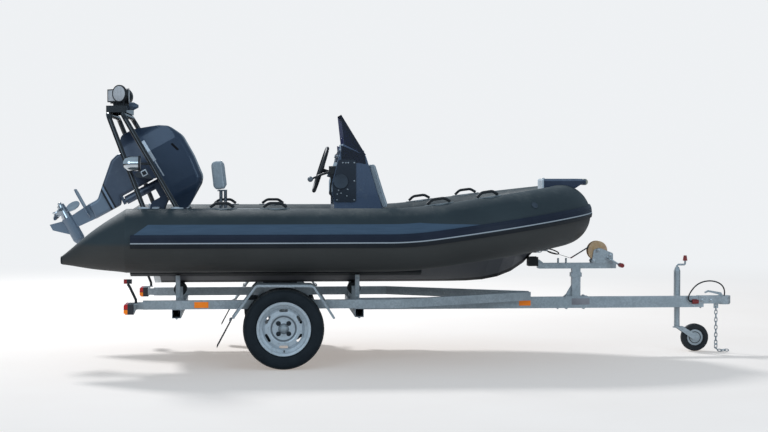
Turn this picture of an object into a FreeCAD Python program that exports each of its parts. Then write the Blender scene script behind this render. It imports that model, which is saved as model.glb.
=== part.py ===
import FreeCAD, Part
import math
import os
import Sketcher

# Inflatable boat with a rigid V hull, parked on its single-axle galvanised trailer.
# Frame: +X to the bow, +Y to port, +Z up, floor at Z = 0, millimetres and degrees.
# Stations along X are measured from the wheel axle, and every sub-part's Placement
# moves it by axle_x, so that the origin lies under the middle of the whole length.

App = FreeCAD
Vec = App.Vector

SIZES = {
    # where the axle stands from the origin, and the running gap between touching pieces
    "axle_x": -823.0,
    "seat_gap": 0.3,
    # buoyancy tube
    "tube_radius": 215.0,
    "tube_half_spread": 670.0,
    "tube_height": 858.0,
    "tube_straight_aft": -1050.0,
    "sheer_start": 700.0,
    "sheer_angle": 7.6,
    "sheer_bend_radius": 2500.0,
    "bow_inner_radius": 420.0,
    "bow_inner_angle": 47.0,
    "cone_tip_aft": -1475.0,
    "cone_tip_height": 730.0,
    "cone_tip_radius": 30.0,
    "cone_cap_length": 12.0,
    "patch_thickness": 3.0,
    "handle_half_length": 80.0,
    "handle_rise": 28.0,
    "handle_grip_radius": 10.0,
    # step on the bow
    "bow_step_length": 292.0,
    "bow_step_width": 200.0,
    "bow_roller_radius": 23.0,
    # rub strake round the outside of the tube
    "strake_depth": 12.0,
    "strake_height": 89.0,
    "strake_lift": 1.5,
    "strake_aft": -1010.0,
    # hull and deck
    "keel_height": 530.0,
    "chine_half": 500.0,
    "chine_height": 683.0,
    "sole_height": 800.0,
    "foredeck_height": 985.0,
    "foredeck_aft": 1200.0,
    "transom_x": -900.0,
    "transom_thickness": 45.0,
    "transom_height": 1075.0,
    "transom_top_half": 300.0,
    "bow_eye_x": 1874.0,
    "bow_eye_height": 748.0,
    "bow_eye_hole": 9.0,
    "locker_aft_margin": 70.0,
    "locker_length": 330.0,
    "locker_width": 400.0,
    "locker_depth": 150.0,
    "lid_thickness": 22.0,
    "lid_overhang": 18.0,
    "hinge_radius": 5.0,
    "hinge_length": 46.0,
    # steering console
    "console_width": 520.0,
    "console_foot_rear": 366.0,
    "console_foot_top": 1141.0,
    "console_rear": 353.0,
    "console_rear_bend": 1250.0,
    "console_foot_front": 800.0,
    "console_front_rake": 70.0,
    "console_dash_x": 381.0,
    "console_dash_height": 1360.0,
    "console_top_x": 431.0,
    "console_top_height": 1516.0,
    "console_brow_x": 590.0,
    "console_brow_height": 1432.0,
    "console_step_length": 210.0,
    "console_step_rise": 185.0,
    "step_pad_drop": 20.0,
    "step_pad_thickness": 50.0,
    "front_pad_thickness": 50.0,
    "front_pad_inset": 70.0,
    "front_pad_step_clear": 70.0,
    "front_pad_brow_clear": 65.0,
    "screen_thickness": 6.0,
    "screen_top_x": 414.0,
    "screen_top_height": 1720.0,
    "wheel_grip_radius": 160.0,
    "wheel_grip_thickness": 13.0,
    "wheel_x": 282.0,
    "wheel_height": 1335.0,
    "column_angle": 17.7,
    "column_boss_radius": 34.0,
    "column_boss_reach": 58.0,
    # helm seat
    "seat_aft": -370.0,
    "seat_length": 470.0,
    "seat_width": 540.0,
    "seat_box_height": 190.0,
    "seat_wall": 8.0,
    "cushion_thickness": 58.0,
    "backrest_x": -432.0,
    "backrest_bottom": 1192.0,
    "backrest_rise": 216.0,
    "backrest_thickness": 84.0,
    "backrest_width": 500.0,
    "backrest_lean": 6.4,
    # roll bar
    "bar_radius": 17.0,
    "bar_top_height": 1715.0,
    "bar_top_half": 440.0,
    "lamp_shelf_top": 1777.0,
    "lamp_shelf_width": 700.0,
    "bar_foot_half": 590.0,
    "bar_rear_top_x": -1190.0,
    "bar_front_top_x": -1090.0,
    "bar_rear_foot_x": -940.0,
    "bar_front_foot_x": -715.0,
    # outboard motor, drawn upright from its tilt axis and then tilted
    "tilt_x": -830.0,
    "tilt_height": 1130.0,
    "tilt_angle": 61.3,
    "steer_aft": 118.0,
    "cowl_half_width": 190.0,
    "cowl_round": 48.0,
    "plate_drop": 524.0,
    "shaft_drop": 668.0,
    "skeg_drop": 800.0,
    "propeller_radius": 126.0,
    # trailer frame
    "rail_half_spread": 620.0,
    "rail_width": 40.0,
    "rail_height": 60.0,
    "rail_base": 390.0,
    "rail_aft": -945.0,
    "rail_bend_x": 800.0,
    "rail_nose_x": 1800.0,
    "drawbar_aft": 550.3,
    "drawbar_nose": 3080.0,
    "drawbar_width": 60.0,
    "drawbar_height": 80.0,
    "drawbar_base": 330.0,
    "frame_wall": 3.0,
    "rear_beam_x": -720.0,
    "front_beam_x": 520.0,
    "cross_beam_size": 60.0,
    # axle and wheels
    "tyre_radius": 272.0,
    "tyre_width": 165.0,
    "wheel_centre_half": 797.5,
    "rim_flange_radius": 182.5,
    "rim_bead_radius": 165.0,
    "rim_half_width": 63.0,
    "rim_slots": 6.0,
    "rim_slot_radius": 122.0,
    "rim_slot_width": 19.0,
    "rim_slot_length": 60.0,
    "hub_face": 11.0,
    "hub_dome_radius": 29.0,
    "axle_beam_size": 70.0,
    "axle_beam_lead": 150.0,
    "fender_width": 200.0,
    "fender_inner_half": 702.0,
    "fender_thickness": 3.0,
    # bunks and rollers that carry the hull
    "bunk_half_spread": 400.0,
    "bunk_width": 70.0,
    "bunk_height": 42.0,
    "bunk_aft": -1046.0,
    "bunk_nose": 966.0,
    "bunk_post_size": 30.0,
    "keel_roller_radius": 45.0,
    "keel_roller_length": 120.0,
    # winch post
    "winch_post_x": 2138.0,
    "winch_post_length": 62.0,
    "winch_post_width": 50.0,
    "winch_arm_base": 617.0,
    "winch_arm_height": 40.0,
    "bow_stop_back": 19.0,
    "winch_arm_nose": 2431.0,
    "drum_x": 2293.0,
    "drum_height": 746.0,
    "drum_flange_radius": 71.0,
    "drum_width": 62.0,
    # jockey wheel
    "jockey_x": 2908.0,
    "jockey_side": 75.0,
    "jockey_tube_radius": 24.0,
    "jockey_wheel_radius": 100.0,
    "jockey_wheel_width": 50.0,
    "jockey_trail": 132.0,
    # coupling
    "ball_x": 3240.0,
    "ball_radius": 25.0,
}


class Dim:
    """A size, or a sum of sizes, that keeps the expression it comes from."""

    def __init__(self, text, value):
        self.text = text
        self.value = value

    def __float__(self):
        return float(self.value)

    def __add__(self, other):
        return Dim(f"({self.text} + {text_of(other)})", self.value + float(other))

    def __radd__(self, other):
        return Dim(f"({text_of(other)} + {self.text})", float(other) + self.value)

    def __sub__(self, other):
        return Dim(f"({self.text} - {text_of(other)})", self.value - float(other))

    def __rsub__(self, other):
        return Dim(f"({text_of(other)} - {self.text})", float(other) - self.value)

    def __mul__(self, other):
        return Dim(f"({self.text} * {text_of(other)})", self.value * float(other))

    def __rmul__(self, other):
        return Dim(f"({text_of(other)} * {self.text})", float(other) * self.value)

    def __truediv__(self, other):
        return Dim(f"({self.text} / {text_of(other)})", self.value / float(other))

    def __neg__(self):
        return Dim(f"(-{self.text})", -self.value)


def text_of(value):
    return value.text if isinstance(value, Dim) else repr(float(value))


class Sizes:
    """The sizes above by name, as in S.tube_radius."""

    def __getattr__(self, name):
        return Dim("Sizes." + name, SIZES[name])


S = Sizes()
doc = App.newDocument("BoatOnTrailer")
sheet = doc.addObject("Spreadsheet::Sheet", "Sizes")
for row, (alias, value) in enumerate(SIZES.items(), start=1):
    sheet.set(f"A{row}", alias)
    sheet.set(f"B{row}", str(value))
    sheet.setAlias(f"B{row}", alias)
doc.recompute()

parts = {}


def bind(item, prop, size):
    if isinstance(size, Dim):
        item.setExpression(prop, size.text)
    else:
        setattr(item, prop, size)


def put(item, at, turn=None):
    """Places an object; turn is (axis, degrees)."""
    rotation = App.Rotation(Vec(*turn[0]), float(turn[1])) if turn else App.Rotation()
    item.Placement = App.Placement(Vec(*[float(v) for v in at]), rotation)
    for letter, value in zip("xyz", at):
        if isinstance(value, Dim):
            item.setExpression("Placement.Base." + letter, value.text)


def primitive(kind, name, at=(0, 0, 0), turn=None, **sizes):
    item = doc.addObject("Part::" + kind, name)
    for prop, size in sizes.items():
        bind(item, prop, size)
    put(item, at, turn)
    return item


def block(name, size, centre):
    """A box given by its three sizes and its centre."""
    corner = [c - s / 2 if isinstance(s, Dim) or isinstance(c, Dim) else c - s / 2.0
              for c, s in zip(centre, size)]
    return primitive("Box", name, corner, Length=size[0], Width=size[1], Height=size[2])


def boolean(kind, name, items):
    """A cut takes the second piece from the first; a fuse or a compound joins them all."""
    item = doc.addObject("Part::" + kind, name)
    if kind == "Cut":
        item.Base, item.Tool = items
    elif kind == "Compound":
        item.Links = items
    else:
        item.Shapes = items
    return item


def origin_plane(body, role):
    return [plane for plane in body.Origin.OriginFeatures if plane.Role == role][0]


def outline_sketch(body, name, role, points):
    """A closed outline of straight lines whose corners are held by the sizes."""
    sketch = body.newObject("Sketcher::SketchObject", name)
    sketch.AttachmentSupport = [(origin_plane(body, role), "")]
    sketch.MapMode = "FlatFace"
    corners = [Vec(float(x), float(y), 0) for x, y in points]
    for start, end in zip(corners, corners[1:] + corners[:1]):
        sketch.addGeometry(Part.LineSegment(start, end), False)
    count = len(points)
    for line in range(count):
        sketch.addConstraint(Sketcher.Constraint("Coincident", line, 2, (line + 1) % count, 1))
    for line, corner in enumerate(points):
        for kind, axis, value in (("DistanceX", -2, corner[0]), ("DistanceY", -1, corner[1])):
            if abs(float(value)) < 1e-9:
                sketch.addConstraint(Sketcher.Constraint("PointOnObject", line, 1, axis))
                continue
            number = sketch.addConstraint(Sketcher.Constraint(kind, -1, 1, line, 1, float(value)))
            if isinstance(value, Dim):
                sketch.setExpression(f"Constraints[{number}]", value.text)
    return sketch


def plate(name, role, points, thickness, at=(0, 0, 0), turn=None):
    """A plate from its outline, as thick on one side of the outline's plane as on the other."""
    body = doc.addObject("PartDesign::Body", name)
    sketch = outline_sketch(body, name + "_outline", role, points)
    pad = body.newObject("PartDesign::Pad", name + "_pad")
    pad.Profile = sketch
    pad.SideType = "Symmetric"
    bind(pad, "Length", thickness)
    put(body, at, turn)
    return body


def turned(name, role, points, axis, at=(0, 0, 0), turn=None):
    """A round piece turned full circle from the outline of one half."""
    body = doc.addObject("PartDesign::Body", name)
    sketch = outline_sketch(body, name + "_outline", role, points)
    revolution = body.newObject("PartDesign::Revolution", name + "_turned")
    revolution.Profile = sketch
    revolution.ReferenceAxis = (sketch, [axis])
    revolution.Angle = 360
    put(body, at, turn)
    return body


def feature(name, shape):
    """A finished shape, which brings its own placement."""
    item = doc.addObject("Part::Feature", name)
    item.Shape = shape
    return item


def sub_part(label, items):
    """One sub-part: its solids in one object, which carries the Label and the Placement."""
    item = items[0] if len(items) == 1 else boolean("Compound", label + "_set", items)
    holder = boolean("Compound", label, [item]) if len(items) == 1 else item
    holder.Label = label
    put(holder, (S.axle_x, 0, 0))
    parts[label] = holder
    return holder


def vec(x, y, z):
    return Vec(float(x), float(y), float(z))


def rounded_path(points, bend):
    """A wire of straight runs joined by tangent arcs of the bend radius."""
    edges = []
    start = points[0]
    for before, corner, after in zip(points, points[1:], points[2:]):
        incoming = (corner - before).normalize()
        outgoing = (after - corner).normalize()
        turn = incoming.getAngle(outgoing)
        reach = bend * math.tan(turn / 2)
        arc_start = corner - incoming * reach
        arc_end = corner + outgoing * reach
        inward = (outgoing - incoming).normalize()
        middle = corner + inward * (bend / math.cos(turn / 2) - bend)
        edges.append(Part.LineSegment(start, arc_start).toShape())
        edges.append(Part.Arc(arc_start, middle, arc_end).toShape())
        start = arc_end
    edges.append(Part.LineSegment(start, points[-1]).toShape())
    return Part.Wire(edges)


def rounded_face(points, radii):
    """A flat face whose corners are tangent arcs, one radius for each corner."""
    rounds = []
    for place, (corner, radius) in enumerate(zip(points, radii)):
        incoming = (corner - points[place - 1]).normalize()
        outgoing = (points[(place + 1) % len(points)] - corner).normalize()
        turn = incoming.getAngle(outgoing)
        reach = radius * math.tan(turn / 2)
        inward = (outgoing - incoming).normalize()
        middle = corner + inward * (radius / math.cos(turn / 2) - radius)
        rounds.append((corner - incoming * reach, middle, corner + outgoing * reach))
    edges = []
    for place, (start, middle, end) in enumerate(rounds):
        edges.append(Part.Arc(start, middle, end).toShape())
        edges.append(Part.LineSegment(end, rounds[(place + 1) % len(rounds)][0]).toShape())
    return Part.Face(Part.Wire(edges))


def pipe(points, radius, bend):
    """A round bar that follows a rounded path."""
    path = rounded_path(points, bend)
    start = (points[1] - points[0]).normalize()
    ring = Part.Wire(Part.Circle(points[0], start, float(radius)).toShape())
    return path.makePipeShell([ring], True, True)


def rod(start, end, radius):
    return Part.makeCylinder(float(radius), (end - start).Length, start, end - start)


def mirrored(shape):
    """The same shape on the other side of the centre plane."""
    return shape.mirror(Vec(0, 0, 0), Vec(0, 1, 0))


def square_tube(start, end, width, height, wall):
    """A hollow rectangular tube lying along X, Y or Z between two points on its centre line."""
    along = end - start
    place = max(range(3), key=lambda i: abs(along[i]))
    across = {0: (1, 2), 1: (0, 2), 2: (0, 1)}[place]

    def bar(w, h_):
        low = [0.0, 0.0, 0.0]
        size = [0.0, 0.0, 0.0]
        size[place] = abs(along[place])
        low[place] = min(start[place], end[place])
        for axis, extent in zip(across, (w, h_)):
            size[axis] = float(extent)
            low[axis] = start[axis] - float(extent) / 2
        return Part.makeBox(*size, Vec(*low))

    return bar(width, height).cut(bar(width - 2 * wall, height - 2 * wall))


# Buoyancy tube

def tube_stations():
    """Turning points of the port tube's centre line, as (point, turn centre, turn axis, degrees)."""
    sheer = math.radians(float(S.sheer_angle))
    quarter = math.radians(float(S.bow_inner_angle))
    tight = float(S.bow_inner_radius)
    side = float(S.tube_half_spread)
    wide = (side - tight * math.cos(quarter)) / (1 - math.cos(quarter))
    bend = float(S.sheer_bend_radius)
    along = Vec(math.cos(sheer), 0, math.sin(sheer))
    inward = Vec(0, -1, 0)
    level = vec(S.sheer_start, side, S.tube_height)
    raised = level + Vec(bend * math.sin(sheer), 0, bend * (1 - math.cos(sheer)))
    joint = raised + along * (wide * math.sin(quarter)) + inward * (wide * (1 - math.cos(quarter)))
    centre = joint - along * (tight * math.sin(quarter)) + inward * (tight * math.cos(quarter))
    down = along.cross(inward)
    return [
        (level, level + Vec(0, 0, bend), Vec(0, -1, 0), float(S.sheer_angle)),
        (raised, raised + inward * wide, down, float(S.bow_inner_angle)),
        (joint, centre, down, 90 - float(S.bow_inner_angle)),
        (centre + along * tight, None, None, 0),
    ]


def swept(face):
    """Runs a section at the tube's straight stretch forward to the bow along the port centre line."""
    stations = tube_stations()
    reach = float(S.sheer_start) - face.BoundBox.XMin
    run = [face.extrude(Vec(reach, 0, 0))]
    section = face.copy()
    section.translate(Vec(reach, 0, 0))
    for point, centre, axis, degrees in stations[:-1]:
        run.append(section.revolve(centre, axis, degrees))
        section = section.copy()
        section.rotate(centre, axis, degrees)
    return run[0].fuse(run[1:]).removeSplitter()


def disc(point, radius):
    """A round face across X."""
    return Part.Face(Part.Wire(Part.Circle(point, Vec(1, 0, 0), float(radius)).toShape()))


def tube_run(grow=0.0):
    """Port half of the tube ahead of its cone, to the centre plane; grow widens it all round."""
    start = vec(S.tube_straight_aft, S.tube_half_spread, S.tube_height)
    return swept(disc(start, float(S.tube_radius) + grow))


def tube_cone():
    """The port cone, whose back is fuller than a straight cone's."""
    # share of the length, of the drop in radius, of the drop in height
    stations = [(0.0, 0.0, 0.0), (0.26, 0.222, 0.219), (0.518, 0.457, 0.465), (0.753, 0.719, 0.719),
                (1.0, 1.0, 1.0)]
    length = float(S.tube_straight_aft - S.cone_tip_aft)
    slimming = float(S.tube_radius - S.cone_tip_radius)
    drop = float(S.tube_height - S.cone_tip_height)
    rings = [disc(vec(S.tube_straight_aft - length * along, S.tube_half_spread, S.tube_height - drop * down),
                  float(S.tube_radius) - slimming * slim).OuterWire for along, slim, down in stations]
    return Part.makeLoft(rings, True, False)


def tube_centre_at(x):
    """The port centre line's point and heading at a station, as a Placement with X along the tube."""
    if x <= float(S.sheer_start):
        return App.Placement(vec(x, S.tube_half_spread, S.tube_height), App.Rotation())
    best = None
    heading = App.Rotation()
    for point, centre, axis, degrees in tube_stations()[:-1]:
        for step in range(101):
            swing = App.Rotation(axis, degrees * step / 100.0)
            place = App.Placement(swing.multVec(point - centre) + centre, swing * heading)
            if best is None or abs(place.Base.x - x) < abs(best.Base.x - x):
                best = place
        heading = App.Rotation(axis, degrees) * heading
    return best


def make_buoyancy_tube():
    half = tube_run().fuse(tube_cone())
    whole = half.fuse(mirrored(half)).removeSplitter()
    sub_part("buoyancy_tube", [feature("tube_shape", whole)])
    cap = primitive("Cone", "port_cap", (S.cone_tip_aft, S.tube_half_spread, S.cone_tip_height),
                    ((0, 1, 0), -90), Radius1=S.cone_tip_radius,
                    Radius2=S.cone_tip_radius - 6, Height=S.cone_cap_length)
    other = primitive("Cone", "starboard_cap",
                      (S.cone_tip_aft, -S.tube_half_spread, S.cone_tip_height),
                      ((0, 1, 0), -90), Radius1=S.cone_tip_radius,
                      Radius2=S.cone_tip_radius - 6, Height=S.cone_cap_length)
    sub_part("tube_end_caps", [cap, other])


def make_rub_strake():
    """A band that hugs the tube's widest line from quarter to quarter."""
    grow = float(S.strake_depth)
    radius = float(S.tube_radius) + float(S.seat_gap)
    half_height = float(S.strake_height) / 2
    start = vec(S.strake_aft, S.tube_half_spread, S.tube_height + S.strake_lift)
    flat = half_height * 0.55
    section = [(radius - 6, -half_height), (radius + grow * 0.45, -half_height), (radius + grow, -flat),
               (radius + grow, flat), (radius + grow * 0.45, half_height), (radius - 6, half_height)]
    corners = [start + Vec(0, out, up) for out, up in section]
    band = swept(Part.Face(Part.makePolygon(corners + corners[:1])))
    band = band.cut(tube_run(float(S.seat_gap)))
    whole = band.fuse(mirrored(band)).removeSplitter()
    sub_part("rub_strake", [feature("strake_shape", whole)])


# Hull, deck and transom

def hull_loft():
    """V hull by stations: X, keel height, chine half beam, chine height, deck-edge half beam."""
    # X, rise of the keel, narrowing and rise of the chine, narrowing of the deck's edge
    stations = [
        (float(S.transom_x + S.transom_thickness), 0, 0, 0, 0),
        (1000.0, 0, 0, 0, 0),
        (1200.0, 0, 15, 6, 2),
        (1330.0, 2, 48, 18, 10),
        (1450.0, 10, 88, 33, 38),
        (1560.0, 31, 140, 52, 80),
        (1660.0, 70, 204, 78, 135),
        (1750.0, 130, 278, 110, 200),
        (1820.0, 205, 348, 146, 265),
        (1880.0, 290, 420, 190, 340),
    ]
    top = S.foredeck_height
    rings = []
    for x, keel_rise, chine_in, chine_rise, edge_in in stations:
        half = S.chine_half - chine_in
        chine = S.chine_height + chine_rise
        edge = S.chine_half - edge_in
        corners = [vec(x, 0, S.keel_height + keel_rise), vec(x, half, chine), vec(x, edge, top),
                   vec(x, -edge, top), vec(x, -half, chine)]
        rings.append(Part.makePolygon(corners + corners[:1]))
    return Part.makeLoft(rings, True, True)


def bow_eye():
    """A flat towing eye that stands out of the stem."""
    place = vec(S.bow_eye_x, -5, S.bow_eye_height)
    ring = Part.makeCylinder(16, 10, place, Vec(0, 1, 0))
    root = Part.makeBox(70, 10, 32, place - Vec(70, 0, 16))
    hole = Part.makeCylinder(float(S.bow_eye_hole), 20, place - Vec(0, 5, 0), Vec(0, 1, 0))
    return ring.fuse(root).cut(hole)


def make_hull():
    body = hull_loft()
    gap = float(S.seat_gap)
    half = tube_run(gap)
    cockpit_length = S.foredeck_aft - S.transom_x
    cockpit = Part.makeBox(float(cockpit_length), 1400, 400, vec(S.transom_x, -700, S.sole_height))
    locker = Part.makeBox(float(S.locker_length), float(S.locker_width), float(S.locker_depth) + 50,
                          vec(S.foredeck_aft + S.locker_aft_margin, -S.locker_width / 2,
                              S.foredeck_height - S.locker_depth))
    shape = body.cut([half, mirrored(half), cockpit, locker]).fuse(bow_eye()).removeSplitter()
    sub_part("hull", [feature("hull_shape", shape)])


def make_transom():
    half = tube_run(float(S.seat_gap))
    x = S.transom_x
    corners = [vec(x, 0, S.keel_height), vec(x, S.chine_half, S.chine_height),
               vec(x, S.chine_half, S.foredeck_height), vec(x, S.transom_top_half, S.transom_height),
               vec(x, -S.transom_top_half, S.transom_height), vec(x, -S.chine_half, S.foredeck_height),
               vec(x, -S.chine_half, S.chine_height)]
    board = Part.Face(Part.makePolygon(corners + corners[:1]))
    board = board.extrude(vec(S.transom_thickness, 0, 0))
    shape = board.cut([half, mirrored(half)])
    biggest = max(shape.Solids, key=lambda solid: solid.Volume)
    sub_part("transom", [feature("transom_shape", biggest)])


def make_bow_locker_lid():
    lid = block("locker_lid", (S.locker_length + 2 * S.lid_overhang, S.locker_width + 2 * S.lid_overhang,
                               S.lid_thickness),
                (S.foredeck_aft + S.locker_aft_margin + S.locker_length / 2, 0,
                 S.foredeck_height + S.seat_gap + S.lid_thickness / 2))
    sub_part("bow_locker_lid", [lid])


def make_grab_handles():
    """Moulded grips on oval patches, four on each side of the tube's crown."""
    thick = float(S.handle_grip_radius)
    reach = float(S.handle_half_length)
    crown = float(S.tube_radius) + thick - 2.2 + float(S.seat_gap)
    high = crown + float(S.handle_rise)
    arch = [Vec(-reach, 0, crown), Vec(38 - reach, 0, high), Vec(reach - 38, 0, high), Vec(reach, 0, crown)]
    grip = pipe(arch, thick, 45.0)
    skin = tube_run(float(S.patch_thickness + S.seat_gap)).cut(tube_run(float(S.seat_gap)))
    handles = []
    for x in (-411.0, -54.0, 1085.0, 1430.0):
        place = tube_centre_at(x)
        prism = Part.makeCylinder(58, 60, Vec(0, 0, crown - 40))
        prism = prism.fuse([Part.makeCylinder(40, 60, Vec(side * 62, 0, crown - 40)) for side in (-1, 1)])
        prism.Placement = place
        patch = skin.common(prism)
        copy = grip.copy()
        copy.Placement = place
        handle = patch.fuse(copy).removeSplitter()
        handles += [handle, mirrored(handle)]
    sub_part("grab_handles", [feature("handle_set", Part.Compound(handles))])


def make_bow_step():
    """A moulded anchor step that sits on the bow's crown, with a roller between its cheeks."""
    bow = tube_stations()[-1][0]
    top = bow.z + float(S.tube_radius) + 42
    low = float(S.tube_height) + 330
    aft = bow.x - 143
    length = float(S.bow_step_length)
    half = float(S.bow_step_width) / 2
    side = [Vec(aft, -half, low), Vec(aft, -half, top), Vec(aft + length, -half, top),
            Vec(aft + length, -half, top - 34), Vec(aft + length - 70, -half, low)]
    body = rounded_face(side, [12, 14, 8, 8, 40]).extrude(Vec(0, 2 * half, 0))
    tube = tube_run(float(S.seat_gap))
    body = body.cut([tube, mirrored(tube)])
    body = max(body.Solids, key=lambda solid: solid.Volume)
    radius = float(S.bow_roller_radius)
    roller_x = aft + length + radius + 2
    roller_z = top - radius
    gap = float(S.seat_gap)
    reach = radius + 30
    cheeks = [Part.makeBox(reach, 8, 2 * radius - 8, Vec(roller_x - reach + 6, y, roller_z - radius + 4))
              for y in (-half + 30, half - 38)]
    pin = Part.makeCylinder(6, 2 * half - 60, Vec(roller_x, -half + 30, roller_z), Vec(0, 1, 0))
    sub_part("bow_step", [feature("step_body", body.fuse(cheeks + [pin]).removeSplitter())])
    roller = Part.makeCylinder(radius, 2 * half - 76 - 2 * gap, Vec(roller_x, -half + 38 + gap, roller_z),
                               Vec(0, 1, 0))
    roller = roller.cut(Part.makeCylinder(6 + gap, 400, Vec(roller_x, -200, roller_z), Vec(0, 1, 0)))
    sub_part("bow_roller", [feature("step_roller", roller)])


# Lid hinges

def make_lid_hinges():
    """Hinge barrels on leaves: two ahead of the bow locker's lid, two ahead of the helm seat's lid."""
    radius = float(S.hinge_radius)
    length = float(S.hinge_length)
    deck = float(S.foredeck_height) + float(S.seat_gap)
    bow_x = float(S.foredeck_aft + S.locker_aft_margin + S.locker_length + S.lid_overhang) + radius + 1.5
    bow_z = deck + float(S.lid_thickness) - 6
    seat_x = float(S.seat_aft + S.seat_length) + 5 + radius + 0.5
    seat_z = float(S.sole_height + S.seat_box_height) + 2 * float(S.seat_gap)
    front = float(S.seat_aft + S.seat_length) + float(S.seat_gap)
    solids = []
    for y in (-140.0 - length / 2, 140.0 - length / 2):
        barrel = Part.makeCylinder(radius, length, Vec(bow_x, y, bow_z), Vec(0, 1, 0))
        post = Part.makeBox(2 * radius, length, bow_z - deck, Vec(bow_x - radius, y, deck))
        leaf = Part.makeBox(30, length, 2, Vec(bow_x - radius, y, deck))
        solids.append(barrel.fuse([post, leaf]).removeSplitter())
        barrel = Part.makeCylinder(radius, length, Vec(seat_x, y, seat_z), Vec(0, 1, 0))
        post = Part.makeBox(seat_x - front, length, radius, Vec(front, y, seat_z - radius - 2))
        leaf = Part.makeBox(2, length, 40, Vec(front, y, seat_z - 42))
        solids.append(barrel.fuse([post, leaf]).removeSplitter())
    sub_part("lid_hinges", [feature("hinge_set", Part.Compound(solids))])


# Console and helm

def console_outline():
    """Side view of the moulding, from the rear foot round to the dash and down the raked front."""
    return [
        (S.console_foot_rear, S.sole_height),
        (S.console_foot_rear, S.console_foot_top),
        (S.console_rear, S.console_foot_top + 14),
        (S.console_rear, S.console_rear_bend),
        (S.console_dash_x, S.console_dash_height),
        (S.console_top_x, S.console_top_height),
        (S.console_brow_x, S.console_brow_height),
        (S.console_foot_front - S.console_front_rake, S.sole_height + S.console_step_rise),
        (S.console_foot_front, S.sole_height),
    ]


def console_clearance():
    """The moulding's outline moved aft by the gap, which trims what is mounted on its rear face."""
    corners = [vec(x - S.seat_gap, -S.console_width / 2, z) for x, z in console_outline()]
    return Part.Face(Part.makePolygon(corners + corners[:1])).extrude(vec(0, S.console_width, 0))


def column_axis():
    angle = math.radians(float(S.column_angle))
    return Vec(math.cos(angle), 0, -math.sin(angle))


def column_centre():
    """The middle of the steering wheel's ring, on the column's axis."""
    return vec(S.wheel_x, 0, S.wheel_height)


def make_console():
    """The base moulding with its step, and the helm pod that stands on it over the leg recess."""
    shell = plate("console_shell", "XZ_Plane", console_outline(), S.console_width)
    shell.Placement.Base.z = float(S.seat_gap)
    step = block("console_step", (S.console_step_length, S.console_width - 60,
                                  S.console_step_rise - S.step_pad_drop),
                 (S.console_foot_front + S.console_step_length / 2 - 40, 0,
                  S.sole_height + S.seat_gap + (S.console_step_rise - S.step_pad_drop) / 2))
    axis = column_axis()
    start = column_centre() + axis * float(S.column_boss_reach)
    column = feature("column_boss", Part.makeCylinder(float(S.column_boss_radius), 60, start, axis))
    whole = boolean("MultiFuse", "console_moulding", [shell, step, column])
    seam = block("console_seam", (S.console_foot_front, S.console_width + 20, S.seat_gap),
                 (S.console_foot_rear - 60 + S.console_foot_front / 2, 0,
                  S.console_foot_top + 1.5 * S.seat_gap))
    sub_part("console", [boolean("Cut", "console_base_and_pod", [whole, seam])])


def make_windscreen():
    base_x = S.console_brow_x - 4
    base_z = S.console_brow_height + 2.8
    across = S.console_width / 2 - 8
    angle = math.atan2(float(S.screen_top_height - base_z), float(base_x - S.screen_top_x))
    thick = float(S.screen_thickness)
    normal = Vec(math.sin(angle), 0, math.cos(angle)) * thick
    low = vec(base_x, 0, base_z)
    high = vec(S.screen_top_x, 0, S.screen_top_height)
    rear = vec(S.console_top_x + 8, 0, S.console_top_height - 3.4)

    def at(point, y):
        return Vec(point.x, y, point.z)

    front = Part.Face(Part.makePolygon([at(low, -float(across)), at(low, float(across)),
                                        at(high, float(across) - 40), at(high, -float(across) + 40),
                                        at(low, -float(across))])).extrude(normal)
    side = Part.Face(Part.makePolygon([at(low, float(across)), at(high, float(across) - 40),
                                       at(rear, float(across)), at(low, float(across))]))
    side = side.extrude(Vec(0, -thick, 0))
    sub_part("windscreen", [feature("screen", front.fuse([side, mirrored(side)]).removeSplitter())])


def make_steering_wheel():
    axis = column_axis()
    centre = column_centre()
    ring = Part.makeTorus(float(S.wheel_grip_radius), float(S.wheel_grip_thickness), centre, axis)
    boss = Part.makeCylinder(38, 26, centre - axis * 6, axis)
    shaft = Part.makeCylinder(14, float(S.column_boss_reach - S.seat_gap), centre, axis)
    spokes = []
    for degrees in (90, 210, 330):
        turn = App.Rotation(axis, degrees)
        arm = turn.multVec(Vec(0, 1, 0))
        spokes.append(rod(centre, centre + arm * float(S.wheel_grip_radius), 8))
    wheel = ring.fuse([boss, shaft] + spokes).removeSplitter()
    sub_part("steering_wheel", [feature("wheel_shape", wheel)])


def make_throttle_control():
    """Control box on the console's rear face, with its lever reaching aft beside the wheel."""
    face = float(S.console_dash_x) - 9
    inner = -float(S.wheel_grip_radius) - 32
    height = float(S.console_dash_height) - 38
    case = Part.makeBox(60, 58, 76, Vec(face - 40, inner - 58, height - 38))
    pivot = Part.makeCylinder(20, 14, Vec(face - 22, inner - 72, height), Vec(0, 1, 0))
    lever = pipe([Vec(face - 22, inner - 65, height), Vec(face - 90, inner - 65, height - 20),
                  Vec(face - 165, inner - 40, height - 52)], 8, 30)
    knob = Part.makeSphere(20, Vec(face - 172, inner - 38, height - 54))
    low_lever = pipe([Vec(face + 1, inner - 20, height - 60), Vec(face - 26, inner - 20, height - 80),
                      Vec(face - 30, inner - 20, height - 160)], 7, 14)
    base = Part.makeBox(28, 40, 60, Vec(face - 28, inner - 40, height - 90))
    control = case.fuse([pivot, lever, knob, base, low_lever]).cut(console_clearance()).removeSplitter()
    sub_part("throttle_control", [feature("throttle_shape", control)])


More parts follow.
